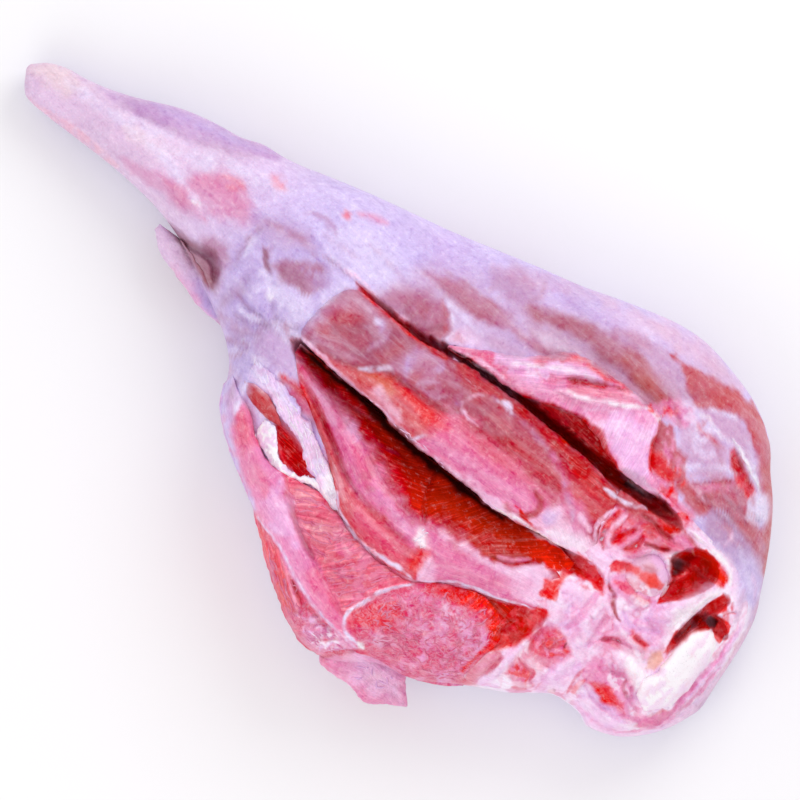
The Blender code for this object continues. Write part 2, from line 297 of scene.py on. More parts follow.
# Openings pressed into the leg: x, y, half width and depth along each. A steep one's back wall is upright.
openings = {
    "longSlit": {"steep": 1, "line": [
        (-40, -15.5, 1.5, 0), (-34, -16, 4, 12), (-20, -17, 6, 22), (0, -18.5, 8, 28), (30, -20.5, 10, 30),
        (60, -19, 11, 26), (85, -15, 11, 22), (100, -10, 10, 17), (115, -4, 7, 12), (130, -1, 4, 6),
        (140, -2, 2, 0)]},
    "narrowSlit": {"steep": 0, "line": [
        (-38, 21.5, 1.0, 0), (-25, 22.5, 1.4, 6), (0, 23.5, 1.8, 12), (20, 29.5, 2.4, 20),
        (40, 32.6, 2.6, 24),
        (60, 34.4, 3.0, 26), (80, 35.4, 3.4, 26), (100, 37, 3.8, 26), (120, 40, 4.2, 22),
        (135, 41.5, 4, 14),
        (146, 40, 2, 0)]},
    "flapShade": {"steep": 0, "line": [
        (54, 36, 1, 0), (66, 39.5, 4, 3), (80, 42, 6, 5), (92, 42, 6, 5), (104, 40.5, 3, 3),
        (112, 40, 1, 0)]},
    "fatPocket": {"steep": 1, "line": [
        (-20, -46, 2, 0), (-12, -49.5, 4, 7), (0, -54, 5, 8), (9, -56, 3, 0)]},
    "hipSocket": {"steep": 0, "line": [
        (154, 30, 4, 10), (159, 34, 6, 17), (166, 34, 7, 17), (166, 27, 5.5, 16), (162, 18, 4, 12),
        (160.5, 11, 1.5, 4)]},
    "hipGap": {"steep": 0, "line": [
        (182, 31, 3, 8), (180, 22, 3.4, 13), (178, 10, 2.4, 11), (178.4, 1, 2.0, 7), (179, -5, 1.0, 0)]},
    "rumpHole": {"steep": 0, "line": [(182, 21, 3, 9), (188, 20, 3.6, 10), (193, 19, 2.6, 6)]},
    "rumpCrack": {"steep": 0, "line": [
        (98, -43, 3, 1), (108, -39, 5, 3), (118, -36, 7, 6), (124, -33, 5.5, 7), (121, -46, 4.5, 6),
        (118.6, -58, 1.8, 5), (118.4, -72, 1.4, 4)]},
    "calfGap": {"steep": 0, "line": [
        (-118, -16.5, 1.5, 3), (-104, -16, 2.2, 5), (-94, -13.5, 3, 6), (-88, -14.5, 3, 6),
        (-84, -19, 2.4, 5),
        (-80, -24, 1.5, 0)]},
    "ballSeat": {"steep": 0, "line": [(143, 14, 8, 6), (148, 16, 11, 9), (151, 16, 8, 7)]},
}


openingLook = {
    "points": 40,                 # along each opening
    "reach": 14,                  # beyond which it leaves the skin alone
    "ragged": (0.5, 0.7),         # how far its edges wander along and across the leg
    "bowl": 3,                    # how flat its floor is, and how upright its walls
    "steepBowl": (9, 1.3),
}


def openingDepth(x, y, names=None):
    sunk = np.zeros(x.shape)
    for name, opening in openings.items():
        line = evenCurve(opening["line"], openingLook["points"])
        near = nearBy(x, y, line[:, :2], openingLook["reach"])
        if (names and name not in names) or not near.any():
            continue
        px = x[near] + openingLook["ragged"][0] * noiseAt(x[near], y[near], 5, 41, 2)
        py = y[near] + openingLook["ragged"][1] * noiseAt(px, y[near], 5, 43, 2)
        away, share = lineDistance(px, py, line)
        at = share * (len(line) - 1)
        _, middle, halfWidth, depth = [np.interp(at, np.arange(len(line)), column) for column in line.T]
        reach = np.clip(away / np.maximum(halfWidth, 0.3), 0, 1)
        bowl = 1 - reach ** openingLook["bowl"]
        if opening["steep"]:
            behind, before = openingLook["steepBowl"]
            bowl = np.where(py > middle, 1 - reach**behind, 1 - reach**before)
        sunk[near] = np.maximum(sunk[near], np.maximum(depth, 0) * bowl)
    return sunk


# Areas: colour, edge softness, raggedness, strength, patch size (0 is unbroken), outline.
# On the leg's own skin only, most of it under the muscles:
groundAreas = [
    ("flesh", 3, 3, 1, 0, [(-44, -52), (-34, -44), (-20, -24), (0, -20), (60, -12), (108, -2), (128, 0),
        (130, -76), (106, -94), (76, -116), (45, -116), (20, -103), (-2, -88), (-26, -76), (-44, -64)]),
    ("strip", 2, 2, 1, 0, [(-34, -12), (-36, 12), (-32, 21), (0, 23), (40, 32), (90, 37), (140, 41),
        (146, 30), (132, 6), (110, -3), (60, -10), (0, -14)]),
    ("fat", 3, 3, 1, 0, [(114, 0), (128, 30), (142, 46), (160, 44), (184, 46), (200, 30), (206, 8),
        (206, -20), (198, -44), (180, -56), (150, -62), (126, -80), (116, -50), (114, -20)]),
    ("fascia", 3, 2, 1, 0, [(-60, -40), (-52, -60), (-30, -40), (0, -34), (10, -46), (20, -58), (0, -66),
        (-24, -62), (-34, -50)]),
    ("ember", 1.2, 1, 1, 0, [(-22, -45), (-8, -47), (2, -50), (12, -53), (8, -60), (-4, -60),
        (-14, -53)]),
    ("skinLilac", 10, 4, 0.55, 0, [(14, 64), (40, 84), (70, 98), (110, 100), (150, 88), (170, 66),
        (184, 52), (150, 50), (112, 72), (60, 62), (30, 56)]),
]
# On everything:
areas = [
    # shank
    ("cream", 6, 3, 0.45, 0, [(-212, -8), (-208, 0), (-196, 5), (-184, 4), (-190, -4), (-202, -7)]),
    ("cream", 5, 3, 0.3, 0, [(-165, 4), (-150, 8), (-134, 10), (-140, 4), (-156, 2)]),
    ("mauve", 2.5, 1.5, 0.95, 0, [(-182, 8), (-165, 17), (-155, 23), (-143, 29), (-130, 34), (-115, 38),
        (-100, 43), (-100, 37), (-115, 29), (-128, 22), (-142, 16), (-158, 11.5), (-170, 9)]),
    ("lavender", 2, 1, 0.5, 0, [(-160, 20), (-143, 29), (-130, 33), (-115, 36), (-104, 40), (-108, 35),
        (-122, 30), (-140, 25), (-152, 19)]),
    ("shankRose", 2.5, 1.5, 0.85, 0, [(-154, -8.5), (-140, -3), (-128, 1.5), (-120, 3), (-113, 1),
        (-104, -3), (-112, -7), (-130, -8.5), (-145, -10)]),
    ("leafPink", 3, 2, 0.35, 0, [(-132, -3), (-124, 0.5), (-114, 0), (-116, -4), (-126, -5)]),
    ("shankRose", 3, 2.5, 0.75, 0, [(-127, 4), (-122, 12), (-115, 18), (-105, 21), (-97, 19), (-90, 14),
        (-84, 10), (-90, 4), (-105, 2), (-118, 1)]),
    ("leafPink", 4, 2.5, 0.4, 0, [(-121, 7), (-114, 15), (-102, 19), (-94, 16), (-92, 9), (-104, 5)]),
    ("shankRose", 5, 3, 0.6, 0, [(-116, 6), (-108, 14), (-96, 15), (-92, 8), (-102, 3)]),
    ("kneeFascia", 4, 3, 0.8, 0, [(-92, 14), (-82, 20), (-68, 25), (-56, 24), (-56, 18), (-70, 14),
        (-84, 6)]),
    # knee
    ("kneeFascia", 7, 4, 0.7, 0, [(-88, -22), (-86, 8), (-74, 22), (-44, 24), (-36, -4), (-34, -26),
        (-46, -52), (-56, -40)]),
    ("fascia", 4, 4, 0.8, 6, [(-84, -16), (-80, 6), (-72, 0), (-68, -18), (-76, -26)]),
    ("greyLilac", 4, 3, 0.55, 0, [(-88, 12), (-80, 20), (-66, 24), (-56, 22), (-64, 15), (-80, 10)]),
    ("fasciaWhite", 4, 3, 0.7, 0, [(-64, -9), (-62, 0), (-46, 2), (-39, -4), (-42, -9), (-52, -6)]),
    ("fasciaWhite", 3, 3, 0.7, 5, [(-70, -16), (-69, -2), (-60, -3), (-54, -12), (-58, -17)]),
    ("bellyRose", 2.4, 2.5, 0.95, 0, [(-69, 2), (-66, 8), (-60, 13), (-54, 17), (-48, 18), (-45, 10),
        (-49, 2), (-58, 0.5)]),
    ("plum", 2.4, 2.5, 0.6, 0, [(-67, 4), (-62, 7.5), (-53, 8), (-50, 3), (-58, 1.5)]),
    ("kneeFascia", 2, 2, 0.6, 4, [(-60, 9), (-54, 17), (-46, 17), (-47, 9)]),
    ("bellyRose", 1.6, 1.5, 0.8, 0, [(-76.5, 5), (-74, 7.5), (-71, 4), (-70, 0), (-73, 1.5)]),
    ("skinLilac", 4, 3, 0.5, 0, [(-54, -21), (-48, -19), (-36, -19), (-28, -27), (-32, -32), (-48, -32)]),
    # pale fascia above the long slit, its whitest part a painted highlight
    ("fasciaWhite", 2.5, 2, 0.8, 0, [(-52, -15), (-44, -12), (-38, -12), (-30, -10.5), (-30, -13),
        (-36, -17), (-46, -18)]),
    ("rimRose", 2.2, 1.5, 0.75, 0, [(-70, -31), (-62, -36), (-54, -42), (-48, -46), (-48, -51),
        (-58, -46), (-70, -36)]),
    ("fasciaWhite", 2.5, 3, 0.7, 4, [(-60, -28), (-50, -26), (-48, -38), (-56, -38)]),
    ("bellyRose", 3, 2, 0.75, 0, [(-100, -11), (-95, -6), (-88, -4), (-84, -9), (-81, -18), (-79, -24),
        (-86, -20), (-94, -15)]),
    # the calf gap: dark mauve, with plum where it is deepest, as painted shade in it
    ("gapShade", 1.6, 1.2, 1, 0, [(-119, -16), (-104, -14.6), (-97, -13), (-91, -11), (-88, -13.5),
        (-82, -20), (-78, -25), (-86, -25), (-94, -23), (-106, -20)]),
    ("plum", 1.4, 1.2, 0.6, 0, [(-97, -13), (-91, -10.5), (-88, -13), (-85, -18), (-90, -18)]),
    ("flapPink", 2, 2, 0.6, 0, [(-104, -29), (-92, -29.5), (-80, -31.5), (-72, -34), (-90, -35),
        (-104, -32)]),
    # beside the fat pocket
    ("fasciaWhite", 3, 3, 0.7, 4, [(-48, -32), (-34, -31), (-20, -35), (-8, -40), (-4, -46), (-20, -42),
        (-40, -40)]),
    ("greyLilac", 2.5, 2.5, 0.5, 4, [(-30, -33), (-16, -34), (0, -42), (8, -48), (-6, -47), (-24, -40)]),
    ("fascia", 3, 2, 0.8, 0, [(-49, -42), (-42, -41), (-38, -46), (-36, -54), (-34, -64), (-44, -62),
        (-50, -50)]),
    ("brownRose", 1.6, 1.4, 0.9, 0, [(-32, -31.5), (-26, -29.5), (-18, -29), (-15.5, -31), (-20, -32.5),
        (-28, -33)]),
    # flank
    ("lavender", 11.2, 4, 0.55, 0, [(-34, 56), (-10, 66), (20, 79), (44, 88), (66, 95), (58, 86),
        (34, 72), (6, 60), (-16, 50)]),
    ("fasciaWhite", 7, 3, 0.5, 0, [(-60, 30), (-56, 40), (-36, 44), (-18, 40), (-24, 30), (-38, 24)]),
    ("mauveGrey", 5.6, 2.5, 0.9, 0, [(4, 68), (12, 78), (25, 79), (31, 71), (23, 64), (10, 62)]),
    ("greyRose", 5.6, 3, 0.6, 0, [(-22, 44), (-16, 54), (0, 60), (30, 64), (52, 70), (56, 62), (50, 52),
        (34, 46), (16, 40), (12, 28), (-20, 26)]),
    ("bandRose", 3.6, 1.8, 0.95, 0, [(28, 67), (40, 74), (55, 82), (75, 85.5), (95, 84.5), (108, 81),
        (105, 74), (92, 71.5), (75, 73), (58, 71), (44, 68), (35, 63)]),
    ("rustRose", 5.6, 3, 0.75, 0, [(72, 77), (84, 84), (106, 81), (107, 75), (92, 74)]),
    ("paleBand", 2.5, 1.2, 0.9, 0, [(32, 60), (45, 66), (60, 70), (78, 72.5), (98, 73), (100, 70),
        (80, 69), (60, 66), (46, 60), (38, 57)]),
    ("flankRose", 2.5, 1.4, 0.95, 0, [(-16, 46), (-8, 52), (4, 56), (20, 58.5), (35, 56), (50, 60),
        (57, 63), (52, 56), (42, 53), (30, 52.5), (20, 48), (8, 45.5), (-6, 45)]),
    ("bandRose", 3.5, 2, 0.5, 0, [(-4, 47), (4, 54), (18, 56), (22, 50), (8, 46)]),
    ("flankRose", 3.4, 1.5, 0.95, 0, [(-24, 25), (-20, 33), (-14, 39), (-5, 42.5), (4, 41), (10, 36),
        (11, 29), (6, 25), (-10, 23)]),
    ("bandRose", 2.2, 1.2, 0.6, 0, [(2, 27), (4, 38), (9, 35), (10.5, 29)]),
    ("pinkWhite", 2.8, 2, 0.6, 0, [(12, 31), (12, 40), (20, 42), (28, 40), (20, 33)]),
    ("greyRose", 4.2, 2, 0.9, 0, [(64, 87), (75, 93.5), (90, 96), (100, 93.5), (110, 87), (111, 83),
        (98, 84), (82, 86.5), (74, 86)]),
    ("paleBand", 4.2, 2, 0.6, 0, [(63, 86), (70, 90), (80, 92), (84, 88), (74, 86)]),
    ("shankSkin", 7, 3, 0.8, 0, [(52, 92), (80, 106), (100, 110), (124, 107), (110, 101), (88, 97),
        (66, 91)]),
    ("rimRose", 7, 3, 0.34, 0, [(70, 100), (84, 107), (100, 111), (126, 108), (114, 100), (92, 98)]),
    ("rimRose", 5, 3, 0.25, 0, [(4, 70), (24, 84), (48, 94), (60, 94), (40, 84), (18, 72)]),
    ("rust", 2, 1.6, 0.5, 0, [(12, 33), (13, 37), (18, 37), (19, 34), (15, 32)]),
    ("greyLilac", 3, 2.5, 0.6, 0, [(12, 38), (18, 44), (30, 47), (44, 50), (40, 44), (28, 40)]),
    ("bandRose", 3, 2.5, 0.5, 4, [(-14, 28), (-4, 38), (4, 38), (8, 28)]),
    ("fasciaWhite", 4, 3, 0.5, 0, [(34, 60), (44, 66), (56, 68), (64, 69), (54, 64), (44, 59)]),
    ("lavender", 5, 3, 0.5, 0, [(-26, 62), (-14, 68), (0, 70), (-6, 62), (-20, 56)]),
    # edge stripe and rump
    ("brownRose", 1.4, 1.4, 0.95, 0, [(86, 95), (100, 97.5), (112, 99.5), (122, 102.5), (132, 104),
        (142, 102.5), (152, 97.5), (159, 91.5), (166, 83), (174, 75), (183, 64), (190, 56), (195, 48),
        (190, 49), (181, 61), (170, 73), (163, 78), (156, 82), (148, 88), (140, 93), (133, 95.5),
        (124, 92), (118, 87), (112, 84.5), (105, 89), (96, 93)]),
    ("rust", 2.5, 2.5, 0.7, 0, [(112, 96), (126, 103), (142, 102), (152, 97), (146, 93), (132, 97)]),
    ("rust", 2.5, 2.5, 0.75, 0, [(108, 92), (114, 99), (124, 102), (130, 99), (122, 92), (114, 88)]),
    ("rust", 2, 2, 0.5, 0, [(150, 90), (157, 91), (166, 81), (176, 71), (188, 55), (184, 56), (168, 74),
        (156, 83)]),
    ("skinLilac", 1.2, 1.5, 0.95, 0, [(115, 85), (121, 90), (128, 94), (133, 95.5), (140, 93), (148, 88),
        (155, 82), (151, 80.5), (138, 85), (126, 84), (118, 82)]),
    ("pink", 2, 2.5, 0.8, 0, [(97, 70), (104, 82), (112, 83.5), (119, 81), (117, 73), (108, 71),
        (101, 71)]),
    ("coral", 1, 2, 0.8, 3, [(96, 69), (100, 76), (105, 81), (112, 78), (106, 72)]),
    ("skinLilac", 1.5, 2, 0.9, 0, [(117, 81), (125, 80.5), (138, 79), (142, 73), (139, 65), (131, 62.5),
        (122, 64), (116, 71)]),
    ("fasciaWhite", 1.5, 2, 0.6, 3, [(106, 83), (116, 86), (124, 83), (134, 76), (130, 68), (120, 70)]),
    ("rust", 1.2, 2, 0.95, 0, [(106, 68), (109, 60), (113, 54), (118, 50), (125, 50.5), (130, 54),
        (132, 58), (126, 65), (119, 66), (113, 72)]),
    ("ember", 1.6, 2.5, 0.6, 0, [(110, 58), (114, 59), (120, 58), (126, 56), (129, 53), (124, 50.5),
        (118, 50), (113, 53)]),
    ("flapPink", 1, 2, 0.8, 2.5, [(112, 70), (118, 66), (126, 62), (124, 56), (116, 60), (110, 66)]),
    ("duskyRose", 1.6, 2, 0.95, 0, [(129, 57), (136, 61), (140, 66), (146, 72.5), (155, 74), (163, 71),
        (172, 67), (179, 60), (186, 52), (178, 54), (168, 59), (158, 60), (151, 57), (148, 51), (140, 49),
        (131, 50)]),
    ("rust", 2, 2.5, 0.7, 0, [(130, 52), (134, 58), (144, 60), (150, 58), (146, 51), (138, 50)]),
    ("paleBand", 1.2, 2, 0.7, 3, [(142, 64), (150, 70), (164, 66), (176, 62), (170, 60), (156, 61)]),
    ("ember", 0.9, 1.2, 0.85, 0, [(138, 84.5), (146, 81.5), (153, 79), (160, 76.5), (158, 72),
        (150, 72.5), (143, 76), (138.5, 80)]),
    ("fasciaWhite", 1.5, 1.5, 0.9, 0, [(159, 76), (165, 79), (171, 76), (174, 70), (169, 65), (163, 65),
        (158.5, 71)]),
    ("brownRose", 1.8, 1.6, 0.75, 0, [(150, 98), (159, 92), (168, 82), (180, 69), (190, 58), (197, 47),
        (191, 47), (184, 56), (174, 68), (167, 79), (158, 85)]),
    ("brownRose", 1.6, 2, 0.6, 0, [(160, 60), (168, 66), (178, 66), (188, 56), (180, 55), (170, 58)]),
    ("mauveGrey", 2.5, 2, 0.8, 0, [(149, 57), (160, 59.5), (172, 58), (183, 54), (190, 50), (188, 46),
        (172, 45), (158, 47), (150, 50)]),
    ("fascia", 3, 2, 0.9, 0, [(168, 50), (180, 54), (193, 50), (196, 40), (188, 36), (178, 42)]),
    ("pinkWhite", 1.5, 1.5, 0.9, 0, [(146, 41), (150, 45), (160, 46), (172, 46), (181, 40), (186, 34),
        (180, 36), (172, 42), (160, 42)]),
    ("flapPink", 1.2, 2, 0.9, 0, [(118, 50), (126, 51), (130, 47), (140, 50), (146, 49), (147, 43),
        (138, 44), (130, 44), (122, 44)]),
    ("coral", 1, 2, 0.8, 2.5, [(124, 60), (132, 60), (136, 50), (146, 47), (148, 42), (130, 43),
        (125, 50)]),
    # cut between the big muscles
    ("ember", 1, 1.6, 1, 0, [(84, -2), (96, -3.5), (108, -4), (111, -0.5), (118, 2.5), (128, 3.5),
        (138, 0), (140, -4), (133, -4.5), (124, -6), (122.5, -10), (123, -16), (125, -21), (119, -23.5),
        (115, -17), (119, -13), (117, -10), (112, -12), (108, -9), (98, -9)]),
    ("pinkWhite", 3, 2.5, 0.6, 0, [(126, -7), (138, -4), (142, -12), (132, -16), (125, -14)]),
    ("coral", 1.6, 2.5, 0.5, 2.5, [(124, -4), (136, -3), (136, -7), (126, -10)]),
    ("ember", 1, 1.5, 1, 0, [(95, -45), (104, -40), (112, -35.5), (120, -30), (125, -26), (128, -28),
        (128, -34), (129.5, -40), (127, -48), (123, -54), (119.5, -62), (119.5, -73), (117.5, -73),
        (117, -60), (115.5, -51), (109, -43), (102, -46)]),
    ("outerRose", 1.5, 1.5, 0.9, 0, [(120, -52), (126, -54), (127, -66), (126, -76), (120, -77),
        (119.5, -62)]),
    ("coral", 1.6, 2, 0.95, 0, [(131, -38), (135, -31), (140, -30), (144, -33), (147, -33), (146, -37),
        (141, -42), (136, -46), (132, -43)]),
    ("coral", 1.2, 1.6, 0.9, 0, [(131, -58), (133, -53), (138, -51.5), (142, -53), (143, -57),
        (138, -56.5), (133, -59.5)]),
    ("leafPink", 2.5, 3, 0.75, 2.6, [(130, -38), (135, -31), (147, -32), (147, -38), (141, -44),
        (133, -46)]),
    ("cutPink", 1.5, 3, 0.7, 1.8, [(130, -36), (138, -30), (148, -32), (142, -42), (134, -44)]),
    ("stripRed", 1.5, 2, 0.6, 2.6, [(134, -34), (139, -33), (140, -38), (135, -40)]),
    ("cutPink", 1.5, 2, 0.6, 1.8, [(131, -52), (142, -51), (142, -58), (132, -60)]),
    ("deep", 1.8, 2.5, 0.8, 3.5, [(84, -3), (100, -3), (124, -2), (136, -2), (122, -8), (108, -10),
        (90, -10)]),
    ("deepRose", 3, 2.5, 0.7, 0, [(80, -4), (96, -4.5), (106, -8), (98, -11), (84, -10)]),
    ("deepRose", 1.5, 2, 0.7, 3, [(104, -40), (118, -32), (128, -30), (127, -46), (118, -50)]),
    ("pink", 1.5, 1.5, 0.8, 0, [(139, -65), (142, -60), (147, -58), (148, -61), (143, -66)]),
    ("cutPink", 1.5, 2, 0.9, 0, [(154, -27), (160, -25), (163, -30), (168, -27), (173, -23), (178, -26),
        (182, -31), (188, -34), (194, -31), (197, -27), (195, -34), (189, -38), (180, -39), (172, -40),
        (162, -38.5), (158, -36), (156, -31)]),
    ("coral", 1.6, 2, 0.8, 0, [(163, -37), (168, -33), (174, -32), (182, -34), (186, -36), (178, -38),
        (170, -39)]),
    ("ember", 1.4, 1.4, 0.9, 0, [(166, -36.5), (170, -32.8), (176, -33.2), (179, -36), (172, -38.6)]),
    ("fat", 1, 2, 0.8, 2.5, [(166, -27), (174, -23), (181, -30), (176, -33), (168, -30)]),
    ("tan", 1.5, 0.5, 0.9, 0, [(174, -8), (177, -5), (180.5, -7), (180, -14), (176, -16)]),
    # hip cavity and gap; the wine and black patches in them are painted shade in their depths
    ("ember", 0.8, 1.2, 1, 0, [(150.5, 27), (154, 33), (157, 37), (160, 40.5), (168, 41), (175, 38.5),
        (178, 35), (172, 33), (170, 28), (168.5, 22), (166, 17), (163, 13), (160.5, 9.5), (159, 12),
        (159, 17), (157, 22)]),
    ("ember", 0.8, 1, 1, 0, [(149.5, 26), (152, 33), (156, 38.5), (160, 42), (168, 42.5), (176, 40),
        (178, 37), (170, 38), (160, 38), (155, 31)]),
    ("wine", 1.6, 1, 0.85, 0, [(151, 27), (154, 32), (156, 35), (160, 36.5), (160.5, 31), (159, 24),
        (159, 13), (157.5, 21)]),
    ("coral", 2, 2, 0.5, 2.6, [(160, 39), (172, 39), (170, 28), (166, 18), (161, 12), (161, 26)]),
    ("shadowBlack", 1.5, 0.8, 0.95, 0, [(152, 27), (155, 31), (158, 31), (158.5, 25), (157, 23)]),
    ("ember", 0.7, 1, 1, 0, [(179, 33.5), (184, 33), (186, 29), (184.5, 24), (188, 24.5), (192, 24.5),
        (194.5, 20), (194.5, 15), (190, 15.5), (187, 17.5), (184, 16), (181, 11), (180.5, 4), (180.5, -4),
        (178, -5), (176.5, 1), (175.5, 6), (176.5, 14), (177, 22)]),
    ("coral", 1.2, 2, 0.6, 2.2, [(180, 30), (186, 30), (190, 24), (194, 17), (186, 18), (182, 24)]),
    ("deepRose", 1.5, 2.5, 0.7, 3, [(162, 38), (172, 38), (170, 28), (166, 18), (161, 14), (164, 28)]),
    ("wine", 1, 0.8, 0.9, 0, [(177, 4), (177, 16), (179, 22), (187, 22), (189, 18), (184, 17), (180, 11),
        (179.5, 3)]),
    ("shadowBlack", 0.9, 0.6, 0.9, 0, [(181, 18), (182, 22), (187, 22), (189, 19), (185, 17.5)]),
    # rim
    ("rimRose", 2, 1.5, 0.6, 0, [(194, 48), (199, 42), (204, 28), (208, 10), (212, -6), (210, -22),
        (204, -34), (204, -26), (206, -8), (204, 8), (200, 26), (195, 40)]),
    ("pinkWhite", 3, 2, 0.9, 0, [(206, -14), (212, -14), (208, -32), (196, -46), (180, -56), (166, -54),
        (184, -48), (200, -34)]),
    ("pink", 1.2, 1.5, 0.8, 0, [(198, -12), (200.5, -14), (201, -26), (198, -34), (193, -39), (193, -35),
        (196, -30), (198.5, -22)]),
    # under the flap: deep red, partly the slit's flesh and partly painted shade beneath the flap's edge
    ("deep", 1, 1.2, 1, 0, [(50, 34), (60, 39.5), (72, 45.5), (82, 48), (92, 47), (100, 43.5),
        (108, 40.5), (120, 40), (134, 44), (142, 44), (145, 40), (143.5, 35), (138, 35), (125, 36),
        (100, 35), (70, 33)]),
    ("ember", 1.2, 1.2, 0.6, 0, [(134, 43), (143, 43.5), (145, 38), (140, 35), (134, 37)]),
]
